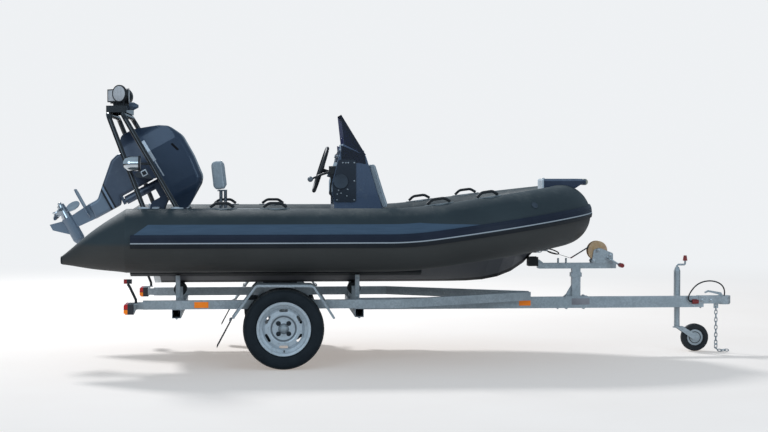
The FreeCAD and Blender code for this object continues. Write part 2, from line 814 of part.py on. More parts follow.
def make_console_side_panel():
    """Raised hatch with a round cover on the console's starboard side."""
    y = -float(S.console_width) / 2 - float(S.seat_gap)
    foot = float(S.console_foot_rear - S.console_rear) + 4
    low = S.console_foot_top - 34
    high = S.console_dash_height + 45
    corners = [vec(foot, y, low), vec(foot, y, S.console_foot_top), vec(4, y, S.console_foot_top + 16),
               vec(4, y, S.console_rear_bend - 10), vec(46, y, high), vec(167, y, high), vec(167, y, low)]
    corners = [corner + vec(S.console_rear, 0, 0) for corner in corners]
    panel = rounded_face(corners, [12, 8, 8, 60, 18, 18, 18]).extrude(Vec(0, -7, 0))
    centre = vec(S.console_rear + 62, y - 14, S.console_rear_bend + 3)
    cover = Part.makeCylinder(52, 14, centre, Vec(0, 1, 0))
    sub_part("console_side_panel", [feature("side_panel", panel.fuse(cover).removeSplitter())])


def make_console_cushions():
    """The pad on the console's raked front and the pad on the step before it."""
    step_top = S.sole_height + S.console_step_rise - S.step_pad_drop + S.seat_gap
    seat = block("step_pad", (S.console_step_length - 30, S.console_width - 80, S.step_pad_thickness),
                 (S.console_foot_front + S.console_step_length / 2 - 10, 0,
                  step_top + S.seat_gap + S.step_pad_thickness / 2))
    foot = vec(S.console_foot_front - S.console_front_rake, 0, S.sole_height + S.console_step_rise)
    brow = vec(S.console_brow_x, 0, S.console_brow_height)
    length = (brow - foot).Length - float(S.front_pad_step_clear + S.front_pad_brow_clear)
    rise = (brow - foot).normalize()
    normal = Vec(rise.z, 0, -rise.x)
    start = foot + rise * float(S.front_pad_step_clear) + normal * float(S.seat_gap) * 2
    half = float(S.console_width) / 2 - float(S.front_pad_inset)
    corners = [start + Vec(0, -half, 0), start + Vec(0, half, 0), start + Vec(0, half, 0) + rise * length,
               start + Vec(0, -half, 0) + rise * length]
    face = Part.Face(Part.makePolygon(corners + corners[:1]))
    pad = feature("front_pad", face.extrude(normal * float(S.front_pad_thickness)))
    sub_part("console_cushions", [seat, pad])


def make_helm_seat():
    length = S.seat_length
    middle = S.seat_aft + length / 2
    base = S.sole_height + S.seat_gap
    outer = block("seat_outer", (length, S.seat_width, S.seat_box_height),
                  (middle, 0, base + S.seat_box_height / 2))
    inner = block("seat_inner", (length - 2 * S.seat_wall, S.seat_width - 2 * S.seat_wall, S.seat_box_height),
                  (middle, 0, base + S.seat_box_height / 2 + S.seat_wall))
    sub_part("seat_base", [boolean("Cut", "seat_box", [outer, inner])])
    lid = block("seat_lid_pad", (length + 10, S.seat_width + 10, S.cushion_thickness),
                (middle, 0, base + S.seat_box_height + S.seat_gap + S.cushion_thickness / 2))
    sub_part("seat_lid", [lid])


def make_backrest():
    lean = -S.backrest_lean
    pad = block("backrest_pad", (S.backrest_thickness, S.backrest_width, S.backrest_rise),
                (0, 0, S.backrest_rise / 2))
    holder = boolean("Compound", "backrest_leaning", [pad])
    put(holder, (S.backrest_x, 0, S.backrest_bottom), ((0, 1, 0), float(lean)))
    sub_part("backrest", [holder])
    foot = float(S.sole_height) + float(S.seat_gap)
    top = float(S.backrest_bottom) - 2.6
    aft = float(S.seat_aft) - float(S.seat_gap)
    solids = []
    for side in (-150.0, 150.0):
        for shift in (-60.0, -28.0):
            solids.append(rod(Vec(aft + shift, side, foot + 1), Vec(aft + shift, side, top), 9))
        solids.append(Part.makeBox(80, 60, 6, Vec(aft - 80, side - 30, foot)))
        solids.append(Part.makeBox(80, 30, 30, Vec(aft - 80, side - 15, foot + 140)))
        solids.append(Part.makeBox(64, 60, 6, Vec(aft - 82, side - 30, top - 6)))
    frame = solids[0].fuse(solids[1:]).removeSplitter()
    sub_part("backrest_frame", [feature("backrest_posts", frame)])


# Roll bar

def bar_foot_height():
    """Where the hoops' centre lines end, just over the tube's crown."""
    rise = math.sqrt(float(S.tube_radius) ** 2 - float(S.tube_half_spread - S.bar_foot_half) ** 2)
    return float(S.tube_height) + rise + 14


def make_roll_bar():
    """Two hoops across the stern, joined by a lamp shelf."""
    top = float(S.bar_top_height)
    half = float(S.bar_top_half)
    foot_half = float(S.bar_foot_half)
    radius = float(S.bar_radius)
    foot_z = bar_foot_height()
    hoops = []
    for top_x, foot_x in ((float(S.bar_rear_top_x), float(S.bar_rear_foot_x)),
                          (float(S.bar_front_top_x), float(S.bar_front_foot_x))):
        hoops.append(pipe([Vec(foot_x, -foot_half, foot_z), Vec(top_x, -half, top),
                           Vec(top_x, half, top), Vec(foot_x, foot_half, foot_z)], radius, 60.0))
    length = float(S.bar_front_top_x - S.bar_rear_top_x) + 40
    width = float(S.lamp_shelf_width)
    shelf = Part.makeBox(length, width, 46, vec(S.bar_rear_top_x - 20, -width / 2, S.lamp_shelf_top - 46))
    shelf = shelf.cut(Part.makeBox(length - 8, width - 8, 46,
                                   vec(S.bar_rear_top_x - 16, 4 - width / 2, S.lamp_shelf_top - 50)))
    tube = tube_run(float(S.seat_gap))
    feet = []
    for foot_x in (float(S.bar_rear_foot_x), float(S.bar_front_foot_x)):
        foot = Part.makeCylinder(42, 34, Vec(foot_x, foot_half + 6, foot_z - 26)).cut(tube)
        foot = max(foot.Solids, key=lambda solid: solid.CenterOfMass.z)
        feet += [foot, mirrored(foot)]
    sub_part("roll_bar", [feature("bar_shape", hoops[0].fuse([hoops[1], shelf] + feet).removeSplitter())])


def lamp_body(round_, size, depth):
    """A work lamp that looks along +X from the origin, with a raised bezel: round or square."""
    if round_:
        bowl = Part.makeCone(size * 0.45, size, depth, Vec(-depth, 0, 0), Vec(1, 0, 0))
        bezel = Part.makeCylinder(size, 14, Vec(0, 0, 0), Vec(1, 0, 0))
        recess = Part.makeCylinder(size - 7, 5, Vec(9, 0, 0), Vec(1, 0, 0))
    else:
        bowl = Part.makeBox(depth, 1.3 * size, 1.3 * size, Vec(-depth, -0.65 * size, -0.65 * size))
        bezel = Part.makeBox(14, 2 * size, 1.8 * size, Vec(0, -size, -0.9 * size))
        recess = Part.makeBox(5, 2 * size - 14, 1.8 * size - 14, Vec(9, 7 - size, 7 - 0.9 * size))
    return bowl.fuse(bezel).cut(recess)


def make_roll_bar_lamps():
    """Work lamps on the shelf, and the horn on its front edge."""
    base = float(S.lamp_shelf_top) + float(S.seat_gap)
    lamps = []
    # X, Y, heading from the bow in degrees, round or square, half size
    for x, y, heading, round_, size in ((-1120, -270, -125, True, 60.0), (-1178, -150, -140, False, 50.0),
                                        (-1095, 40, 0, True, 56.0), (-1178, 150, 140, False, 50.0),
                                        (-1120, 270, 125, True, 60.0)):
        body = lamp_body(round_, size, 42.0)
        yoke = Part.makeBox(16, 30, 70, Vec(-26, -15, -size - 26))
        lamp = body.fuse(yoke).removeSplitter()
        lamp.rotate(Vec(0, 0, 0), Vec(0, 0, 1), heading)
        lamp.translate(Vec(x, y, base + size + 26))
        lamps.append(lamp)
    horn_radius = 28.0
    mouth = vec(S.bar_front_top_x + 20 + S.seat_gap, -90, S.lamp_shelf_top + 5)
    horn = Part.makeCylinder(horn_radius, 30, mouth, Vec(1, 0, 0))
    lamps.append(horn.fuse(Part.makeCone(horn_radius, 10, 34, mouth + Vec(30, 0, 0), Vec(1, 0, 0))))
    sub_part("roll_bar_lamps", [feature("lamp_set", Part.Compound(lamps))])


def make_spot_lamps():
    """Chrome bullet lamps that look forward, one outboard of the roll bar's front leg on each side."""
    radius = 50.0
    length = 62.0
    height = 1376.0
    top = vec(S.bar_front_top_x, -S.bar_top_half, S.bar_top_height)
    foot = vec(S.bar_front_foot_x, -S.bar_foot_half, bar_foot_height())
    share = (top.z - height) / (top.z - foot.z)
    leg = top + (foot - top) * share
    centre = leg + Vec(-135, -float(S.bar_radius) - radius - 8, 0)
    slant = math.sqrt(0.5) * radius
    nose = Part.Arc(Vec(-radius, 0, 0), Vec(-slant, slant, 0), Vec(0, radius, 0)).toShape()
    steps = [Vec(0, radius, 0), Vec(length - 8, radius, 0), Vec(length - 8, radius + 5, 0),
             Vec(length + 6, radius + 5, 0), Vec(length + 6, radius - 4, 0), Vec(length - 2, radius - 4, 0),
             Vec(length - 2, 0, 0), Vec(-radius, 0, 0)]
    outline = Part.Wire([nose] + Part.makePolygon(steps).Edges)
    bullet = Part.Face(outline).revolve(Vec(0, 0, 0), Vec(1, 0, 0), 360)
    bullet.translate(centre)
    start = centre + Vec(length - 4, radius - 12, 0)
    arm = rod(start, start + Vec(leg.x - start.x, leg.y - start.y, 0), 8)
    arm = arm.cut(rod(top, foot, float(S.bar_radius) + float(S.seat_gap)))
    arm = max(arm.Solids, key=lambda solid: solid.Volume)
    lamp = bullet.fuse(arm).removeSplitter()
    sub_part("spot_lamps", [feature("spot_set", Part.Compound([lamp, mirrored(lamp)]))])


# Outboard motor

def tilted(shape):
    """Takes a shape drawn upright about the tilt axis (+X forward, -Z down the leg) to its place."""
    moved = shape.copy()
    moved.rotate(Vec(0, 0, 0), Vec(0, 1, 0), float(S.tilt_angle))
    moved.translate(vec(S.tilt_x, 0, S.tilt_height))
    return moved


def aft_down(aft, down, side=0.0):
    return Vec(-float(aft), float(side), -float(down))


def slab(points, half_width, radii=None):
    """A solid from a side outline given as (aft, down) pairs, equal on both sides of the middle."""
    corners = [aft_down(aft, down, -half_width) for aft, down in points]
    face = rounded_face(corners, radii) if radii else Part.Face(Part.makePolygon(corners + corners[:1]))
    return face.extrude(Vec(0, 2 * half_width, 0))


def plan_prism(shrink=0.0):
    """The cowl's outline seen from above, as an upright solid that trims what lies under it."""
    half = float(S.cowl_half_width) - shrink
    port = [(-140 + shrink, half - 72), (-30, half - 4), (110, half + 3), (330, half + 3), (470, half - 28),
            (545 - shrink, half - 92)]
    points = [Vec(-aft, y, -200) for aft, y in port] + [Vec(-aft, -y, -200) for aft, y in reversed(port)]
    radii = [45, 120, 300, 300, 120, 50, 50, 120, 300, 300, 120, 45]
    return rounded_face(points, radii).extrude(Vec(0, 0, 600))


def make_clamp_bracket():
    """The pair of clamp plates that hook over the transom, with the tilt tube between them."""
    outside = float(S.tilt_x - S.transom_x) + float(S.seat_gap)
    inside = outside - float(S.transom_thickness) - 2 * float(S.seat_gap)
    top = float(S.tilt_height - S.transom_height) - float(S.seat_gap)
    outline = [(0, -24), (24, -12), (outside + 12, top - 34), (outside + 26, top), (outside + 22, 320),
               (outside, 330), (outside, top), (inside, top), (inside, top + 70), (inside - 14, top + 70),
               (inside - 30, top), (-26, 12), (-22, -14)]
    cheeks = []
    for side in (-1, 1):
        corners = [Vec(float(S.tilt_x) - aft, side * 115 - 8, float(S.tilt_height) - drop)
                   for aft, drop in outline]
        cheeks.append(Part.Face(Part.makePolygon(corners + corners[:1])).extrude(Vec(0, 16, 0)))
    tube = Part.makeCylinder(14, 246, vec(S.tilt_x, -123, S.tilt_height), Vec(0, 1, 0))
    bracket = cheeks[0].fuse([cheeks[1], tube]).removeSplitter()
    sub_part("clamp_bracket", [feature("clamp_shape", bracket)])


def make_swivel_bracket():
    """The yoke that tilts on the tube and carries the upright steering spindle."""
    steer = float(S.steer_aft)
    yoke = Part.makeCylinder(24, 180, Vec(0, -90, 0), Vec(0, 1, 0))
    web = Part.makeBox(steer, 80, 44, Vec(-steer, -40, -22))
    barrel = Part.makeCylinder(30, 266, Vec(-steer, 0, -244), Vec(0, 0, 1))
    hole = Part.makeCylinder(14.3, 260, Vec(0, -130, 0), Vec(0, 1, 0))
    spindle = Part.makeCylinder(16.3, 330, Vec(-steer, 0, -280), Vec(0, 0, 1))
    shape = yoke.fuse([web, barrel]).cut([hole, spindle]).removeSplitter()
    sub_part("swivel_bracket", [feature("swivel_shape", tilted(shape))])


def make_cowl():
    """Rounded engine cover, cut level along its seam with the pan."""
    outline = [(-133, 60), (-133, -124), (-33, -282), (10, -316), (168, -332), (335, -330),
               (434, -280), (472, -219), (570, 60)]
    radii = [60, 60, 70, 70, 300, 120, 70, 100, 60]
    block_ = slab(outline, float(S.cowl_half_width), radii)
    rims = [edge for edge in block_.Edges if edge.BoundBox.YLength < 1]
    cowl = block_.makeFillet(float(S.cowl_round), rims).common(plan_prism())
    cowl = cowl.cut(Part.makeBox(1200, 600, 400, Vec(-900, -300, -350)))
    sub_part("cowl", [feature("cowl_shape", tilted(cowl))])


def make_leg():
    steer = float(S.steer_aft)
    drop = float(S.plate_drop)
    pan = slab([(-126, -49.7), (532, -49.7), (550, 14), (524, 56), (446, 110), (220, 90), (160, 0),
                (154, -32), (-110, -32)], float(S.cowl_half_width) + 20).common(plan_prism(10.0))
    housing = slab([(158, 0), (446, 100), (417, 201), (289, 343), (222, 414), (222, drop - 30),
                    (106, drop - 30), (106, 290), (158, 262)], 45, [5, 60, 60, 60, 40, 5, 5, 30, 5])
    housing = housing.makeFillet(20, [edge for edge in housing.Edges if edge.BoundBox.YLength < 1
                                      and edge.BoundBox.ZMax < -100 and edge.BoundBox.XMin < -222.5
                                      and edge.BoundBox.ZMin > 2 - drop + 30])
    spindle = Part.makeCylinder(16, 300, Vec(-steer, 0, -266), Vec(0, 0, 1))
    foot = Part.makeBox(80, 60, 18, Vec(-steer - 60, -30, -270))
    shape = pan.fuse([housing, spindle, foot]).removeSplitter()
    sub_part("leg_housing", [feature("leg_shape", tilted(shape))])


def make_gearcase():
    drop = float(S.plate_drop)
    shaft = float(S.shaft_drop)
    port = [(128, 20), (168, 80), (330, 85), (360, 60)]
    plan = [aft_down(aft, drop + 2, y) for aft, y in port + [(aft, -y) for aft, y in reversed(port)]]
    skirt = Part.Face(Part.makePolygon(plan + plan[:1])).extrude(Vec(0, 0, 8))
    upper = slab([(108, drop - 29.7), (220, drop - 29.7), (205, shaft), (120, shaft)], 22)
    skeg = slab([(60, shaft), (205, shaft), (205, shaft + 45), (226, float(S.skeg_drop)),
                 (180, float(S.skeg_drop))], 5)
    torpedo = Part.makeCylinder(42, 170, Vec(-210, 0, -shaft), Vec(1, 0, 0))
    nose = Part.makeCone(42, 12, 60, Vec(-40, 0, -shaft), Vec(1, 0, 0))
    shape = skirt.fuse([upper, skeg, torpedo, nose]).removeSplitter()
    sub_part("gearcase", [feature("gearcase_shape", tilted(shape))])


def make_propeller():
    shaft = float(S.shaft_drop)
    hub = Part.makeCone(38, 26, 102, Vec(-210.3, 0, -shaft), Vec(-1, 0, 0))
    blades = []
    reach = float(S.propeller_radius)
    for number in range(3):
        blade = Part.makeCylinder(reach * 0.42, 5, Vec(-265, 0, -shaft + reach * 0.58), Vec(1, 0, 0))
        blade.rotate(Vec(-265, 0, -shaft), Vec(0, 0, 1), 32)
        blade.rotate(Vec(-265, 0, -shaft), Vec(1, 0, 0), 120 * number)
        blades.append(blade)
    sub_part("propeller", [feature("propeller_shape", tilted(hub.fuse(blades).removeSplitter()))])


# Trailer frame

def make_side_rails():
    """Each rail runs straight, then bends in and meets the drawbar's side."""
    half = S.rail_width / 2
    wall = float(S.frame_wall)
    nose_half = float(S.drawbar_width) / 2 + float(S.seat_gap)
    solids = []

    def run(inset, rise):
        outer = S.rail_half_spread + half - inset
        inner = S.rail_half_spread - half + inset
        low = float(S.rail_base) + rise
        corners = [vec(S.rail_aft, outer, low), vec(S.rail_bend_x, outer, low),
                   vec(S.rail_nose_x, 30 + 20 - inset, low), vec(S.rail_nose_x, -20 + inset, low),
                   vec(S.rail_bend_x, inner, low), vec(S.rail_aft, inner, low)]
        face = Part.Face(Part.makePolygon(corners + corners[:1]))
        return face.extrude(Vec(0, 0, float(S.rail_height) - 2 * rise))

    rail = run(0, 0.0).cut(run(wall, wall))
    clear = Part.makeBox(4000, 2 * nose_half, 400, Vec(0, -nose_half, 200))
    rail = rail.cut(clear)
    far_side = Part.makeBox(5000, 1000, 600, Vec(-1500, -1000, 100))
    rail = rail.cut(far_side)
    biggest = max(rail.Solids, key=lambda solid: solid.Volume)
    solids = [biggest, mirrored(biggest)]
    sub_part("side_rails", [feature("rail_pair", Part.Compound(solids))])


def make_drawbar():
    z = S.drawbar_base + S.drawbar_height / 2
    tube = square_tube(vec(S.drawbar_aft, 0, z), vec(S.drawbar_nose, 0, z),
                       float(S.drawbar_width), float(S.drawbar_height), float(S.frame_wall))
    sub_part("drawbar", [feature("drawbar_tube", tube)])


def make_cross_members():
    """Square tubes slung under the rails, and the short top plate over the drawbar's joint."""
    size = float(S.cross_beam_size)
    z = float(S.rail_base) - float(S.seat_gap) - size / 2
    reach = float(S.rail_half_spread + S.rail_width / 2)
    wall = float(S.frame_wall)
    rear = square_tube(vec(S.rear_beam_x, -reach, z), vec(S.rear_beam_x, reach, z), size, size, wall)
    front = square_tube(vec(S.front_beam_x, -reach, z), vec(S.front_beam_x, reach, z), size, size, wall)
    sub_part("cross_members", [feature("cross_set", Part.Compound([rear, front]))])


def make_axle():
    """Rubber-torsion axle beam with its trailing arms and stub spindles."""
    size = float(S.axle_beam_size)
    z = float(S.rail_base) - float(S.seat_gap) - size / 2
    lead = float(S.axle_beam_lead)
    reach = float(S.rail_half_spread) + 40
    beam = Part.makeBox(size, 2 * reach, size, Vec(lead - size / 2, -reach, z - size / 2))
    pieces = []
    for side in (-1, 1):
        inner = side * (reach)
        arm_y = side * (reach + 15)
        arm = rod(Vec(lead, arm_y, z), Vec(0, arm_y, float(S.tyre_radius)), 22)
        boss = Part.makeCylinder(34, 34, Vec(lead, inner - side * 2, z), Vec(0, side, 0))
        stub = Part.makeCylinder(17.45, 165, Vec(0, arm_y - side * 15, float(S.tyre_radius)), Vec(0, side, 0))
        pieces += [arm, boss, stub]
    sub_part("axle_beam", [feature("axle_shape", beam.fuse(pieces).removeSplitter())])


def tyre_section():
    """The tyre's cut face in the XY plane, X the radius and Y across: bead, bulged wall, tread."""
    half = float(S.tyre_width) / 2
    bead = float(S.rim_bead_radius) + float(S.seat_gap)
    outer = float(S.tyre_radius)
    seat = float(S.rim_half_width) - float(S.seat_gap)
    flange = float(S.rim_flange_radius) + 2
    run = [(bead, seat - 5), (flange, seat), (flange + 34, half), (outer, half - 22)]
    corners = [Vec(x, y, 0) for x, y in run + [(x, -y) for x, y in reversed(run)]]
    return Part.Face(Part.makePolygon(corners + corners[:1]))


def rim_slot():
    """One round-ended slot, drawn across the disc's +X spoke line and through its thickness."""
    half = float(S.rim_slot_width) / 2
    straight = float(S.rim_slot_length) / 2 - half
    reach = float(S.rim_slot_radius)
    aft = float(S.hub_face) - half
    depth = 44.0
    ends = [Part.makeCylinder(half, depth, Vec(reach, aft, z), Vec(0, 1, 0)) for z in (-straight, straight)]
    return Part.makeBox(2 * half, depth, 2 * straight, Vec(reach - half, aft, -straight)).fuse(ends)


def wheel_parts(side, name):
    """Tyre, rim and hub, drawn about Y with +Y outboard, then turned to their side."""
    bead = S.rim_bead_radius
    edge = S.rim_half_width
    lip = S.rim_flange_radius
    at = (0, side * S.wheel_centre_half, S.tyre_radius)
    turn = None if side > 0 else ((0, 0, 1), 180)
    tyre = feature(name + "_tyre_shape", tyre_section().revolve(Vec(0, 0, 0), Vec(0, 1, 0), 360))
    put(tyre, at, turn)
    sub_part(name + "_tyre", [tyre])
    well = bead - 19
    inner_well = well - 4
    barrel = turned(name + "_barrel", "XY_Plane",
                    [(lip, edge + 4), (lip - 2.5, edge), (bead + 3, edge), (bead, edge - 3), (bead - 1, 42),
                     (well, 30), (well, -14), (bead - 1, -30), (bead, 3 - edge), (bead + 3, -edge),
                     (lip - 2.5, -edge), (lip, -edge - 4), (lip - 2.5, -edge - 7), (bead - 1, -edge - 4),
                     (bead - 5, 5 - edge), (bead - 5, -32), (inner_well, -17), (inner_well, 33),
                     (bead - 5, 45), (bead - 5, edge - 3), (bead, edge + 4), (lip - 2.5, edge + 7)],
                    "V_Axis", at, turn)
    face = S.hub_face
    disc_body = turned(name + "_disc", "XY_Plane",
                       [(inner_well + 0.5, face - 8), (inner_well + 0.5, face + 6), (bead - 33, face + 13),
                        (bead - 41, face + 20), (96, face + 22), (84, face + 18), (78, face + 6),
                        (60, face + 4), (40, face + 4), (S.hub_dome_radius + 2.5, face + 8),
                        (S.hub_dome_radius + 0.5, face + 8), (S.hub_dome_radius + 0.5, face + S.seat_gap),
                        (60, face + S.seat_gap), (80, face + 2), (88, face + 14), (98, face + 18),
                        (bead - 43, face + 16), (bead - 36, face + 8), (bead - 27, face - 8)],
                       "V_Axis", at, turn)
    slot = rim_slot()
    slots = []
    for number in range(int(SIZES["rim_slots"])):
        copy = slot.copy()
        copy.rotate(Vec(0, 0, 0), Vec(0, 1, 0), 360.0 / SIZES["rim_slots"] * (number + 0.5))
        slots.append(copy)
    cutter = feature(name + "_slots", Part.Compound(slots))
    put(cutter, at, turn)
    whole = boolean("MultiFuse", name + "_wheel_blank", [barrel, disc_body])
    sub_part(name + "_rim", [boolean("Cut", name + "_wheel_cut", [whole, cutter])])
    dome = S.hub_dome_radius
    hub = turned(name + "_hub_body", "XY_Plane",
                 [(17.5, -38), (30, -38), (34, face - 10), (66, face - 9), (66, face), (dome, face),
                  (dome, face + 16), (dome - 5, face + 24), (dome - 13, face + 30), (0, face + 32),
                  (0, face + 24), (17.5, face + 18)],
                 "V_Axis", at, turn)
    sub_part(name + "_hub", [hub])


def make_fenders():
    """Folded mudguards with lipped edges, each on two brackets from the rail."""
    thick = float(S.fender_thickness)
    outline = [(-344, 352), (-185, 573), (198, 571), (343, 347)]
    radii = [1, 40, 40, 1]

    def ribbon(depth):
        """A closed loop under the outline, this deep."""
        low = [(x - depth * lean, z - depth * drop) for (x, z), (lean, drop)
               in zip(outline, ((-0.85, 0.4), (-0.32, 1.0), (0.32, 1.0), (0.85, 0.4)))]
        corners = [Vec(x, 0, z) for x, z in outline + low[::-1]]
        inner = [max(radius - depth, 1) for radius in radii]
        return rounded_face(corners, radii + inner[::-1])

    inner_y = float(S.fender_inner_half)
    width = float(S.fender_width)
    strip = ribbon(thick).extrude(Vec(0, width, 0))
    strip.translate(Vec(0, inner_y, 0))
    lips = []
    for y in (inner_y, inner_y + width - thick):
        lip = ribbon(16.0).extrude(Vec(0, thick, 0))
        lip.translate(Vec(0, y, 0))
        lips.append(lip)
    rail = float(S.rail_half_spread + S.rail_width / 2) + float(S.seat_gap)
    top = float(S.rail_base + S.rail_height) - 8
    stays = []
    for x in (-150.0, 150.0):
        stays.append(Part.makeBox(44, inner_y + thick - rail, 6, Vec(x - 22, rail, top)))
        stays.append(Part.makeBox(44, 6, 40, Vec(x - 22, rail, top - 34)))
        stays.append(Part.makeBox(44, thick, 562 - top, Vec(x - 22, inner_y, top)))
    guard = strip.fuse(lips + stays).removeSplitter()
    sub_part("fenders", [feature("fender_pair", Part.Compound([guard, mirrored(guard)]))])


def make_mud_flaps():
    """Rubber flaps that hang behind the wheels from the fenders' lower edges."""
    profile = [Vec(-339, 0, 351), Vec(-342.5, 0, 354), Vec(-446, 0, 162), Vec(-441, 0, 160)]
    flap = Part.Face(Part.makePolygon(profile + profile[:1])).extrude(Vec(0, 170, 0))
    flap.translate(vec(0, S.fender_inner_half + 15, -3.4))
    flap = flap.cut(Part.makeBox(200, 400, 100, Vec(-345, 600, 352 - 0.3)))
    sub_part("mud_flaps", [feature("flap_pair", Part.Compound([flap, mirrored(flap)]))])


# What carries the boat

def hull_bottom_at(y):
    """Height of the hull's flat V panel at a distance from the keel."""
    rise = (float(S.chine_height) - float(S.keel_height)) / float(S.chine_half)
    return float(S.keel_height) + rise * abs(y)


def make_bunks():
    y = float(S.bunk_half_spread)
    length = float(S.bunk_nose - S.bunk_aft)
    width = float(S.bunk_width)
    height = float(S.bunk_height)
    gap = float(S.seat_gap) + 0.3
    corners = [Vec(0, y - width / 2, hull_bottom_at(y - width / 2) - gap),
               Vec(0, y + width / 2, hull_bottom_at(y + width / 2) - gap),
               Vec(0, y + width / 2, hull_bottom_at(y + width / 2) - gap - height),
               Vec(0, y - width / 2, hull_bottom_at(y - width / 2) - gap - height)]
    bunk = Part.Face(Part.makePolygon(corners + corners[:1])).extrude(Vec(length, 0, 0))
    bunk.translate(vec(S.bunk_aft, 0, 0))
    sub_part("bunks", [feature("bunk_pair", Part.Compound([bunk, mirrored(bunk)]))])


def make_cradle_posts():
    """Uprights from the cross-members to the bunks and to the keel rollers."""
    size = float(S.bunk_post_size)
    base = float(S.rail_base)
    y = float(S.bunk_half_spread)
    top = hull_bottom_at(y - size / 2) - 2 * float(S.seat_gap) - 0.3 - float(S.bunk_height)
    solids = []
    for x in (float(S.rear_beam_x), float(S.front_beam_x)):
        post = Part.makeBox(size, size, top - base, Vec(x - size / 2, y - size / 2, base))
        solids += [post, mirrored(post)]
    for x in (float(S.rear_beam_x), float(S.front_beam_x)):
        axle_z = float(S.keel_height) - 1.0 - float(S.keel_roller_radius)
        for side in (-1, 1):
            ear_y = side * (float(S.keel_roller_length) / 2 + 2.8)
            ear = Part.makeBox(40, 5, axle_z + 20 - base, Vec(x - 20, ear_y - 2.5, base))
            solids.append(ear)
    sub_part("cradle_posts", [feature("post_set", Part.Compound(solids))])
    rollers = []
    for x in (float(S.rear_beam_x), float(S.front_beam_x)):
        axle_z = float(S.keel_height) - 1.0 - float(S.keel_roller_radius)
        half = float(S.keel_roller_length) / 2
        waist = 22.0
        port = Part.makeCone(waist, float(S.keel_roller_radius), half, Vec(x, 0, axle_z), Vec(0, 1, 0))
        rollers.append(port.fuse(mirrored(port)).removeSplitter())
    sub_part("keel_rollers", [feature("roller_set", Part.Compound(rollers))])


# Winch post

def make_winch_post():
    """Post with its foot and brace, and the arm that reaches aft to the bow and forward to the winch."""
    base = float(S.drawbar_base + S.drawbar_height) + float(S.seat_gap)
    x = float(S.winch_post_x)
    half = float(S.winch_post_width) / 2
    arm_z = float(S.winch_arm_base)
    post = Part.makeBox(float(S.winch_post_length), 2 * half, arm_z - base,
                        Vec(x - float(S.winch_post_length) / 2, -half, base))
    collar = Part.makeBox(float(S.winch_post_length) + 16, 2 * half + 12, 30,
                          Vec(x - float(S.winch_post_length) / 2 - 8, -half - 6, arm_z - 60))
    foot = Part.makeBox(170, float(S.drawbar_width), 6, vec(x - 85, -S.drawbar_width / 2, base))
    brace = Part.Face(Part.makePolygon([Vec(x - 80, -6, base + 6), Vec(x - 30, -6, base + 90),
                                        Vec(x - 30, -6, base + 6), Vec(x - 80, -6, base + 6)]))
    brace = brace.extrude(Vec(0, 12, 0))
    aft = float(S.bow_eye_x - S.bow_stop_back)
    height = float(S.winch_arm_height)
    nose = float(S.winch_arm_nose)
    side = [Vec(aft, -half, arm_z + 4), Vec(aft, -half, arm_z + height + 24),
            Vec(aft + 14, -half, arm_z + height + 24), Vec(aft + 44, -half, arm_z + height),
            Vec(nose, -half, arm_z + height), Vec(nose, -half, arm_z), Vec(aft + 10, -half, arm_z)]
    arm = Part.Face(Part.makePolygon(side + side[:1])).extrude(Vec(0, 2 * half, 0))
    uprights = [Part.makeCylinder(7, 36, Vec(x - reach, 0, arm_z + height - 1)) for reach in (72, 130)]
    whole = post.fuse([collar, foot, brace, arm] + uprights).removeSplitter()
    sub_part("winch_post", [feature("post_shape", whole)])
    gap = float(S.seat_gap)
    pad = Part.makeBox(70, 96, 66, Vec(aft - 70 - gap, -48, arm_z + 20))
    groove = Part.Face(Part.makePolygon([Vec(aft - 80, -34, arm_z + 90), Vec(aft - 80, 34, arm_z + 90),
                                         Vec(aft - 80, 0, arm_z + 50), Vec(aft - 80, -34, arm_z + 90)]))
    pad = pad.cut(groove.extrude(Vec(90, 0, 0)))
    sub_part("bow_block", [feature("bow_block_shape", pad)])


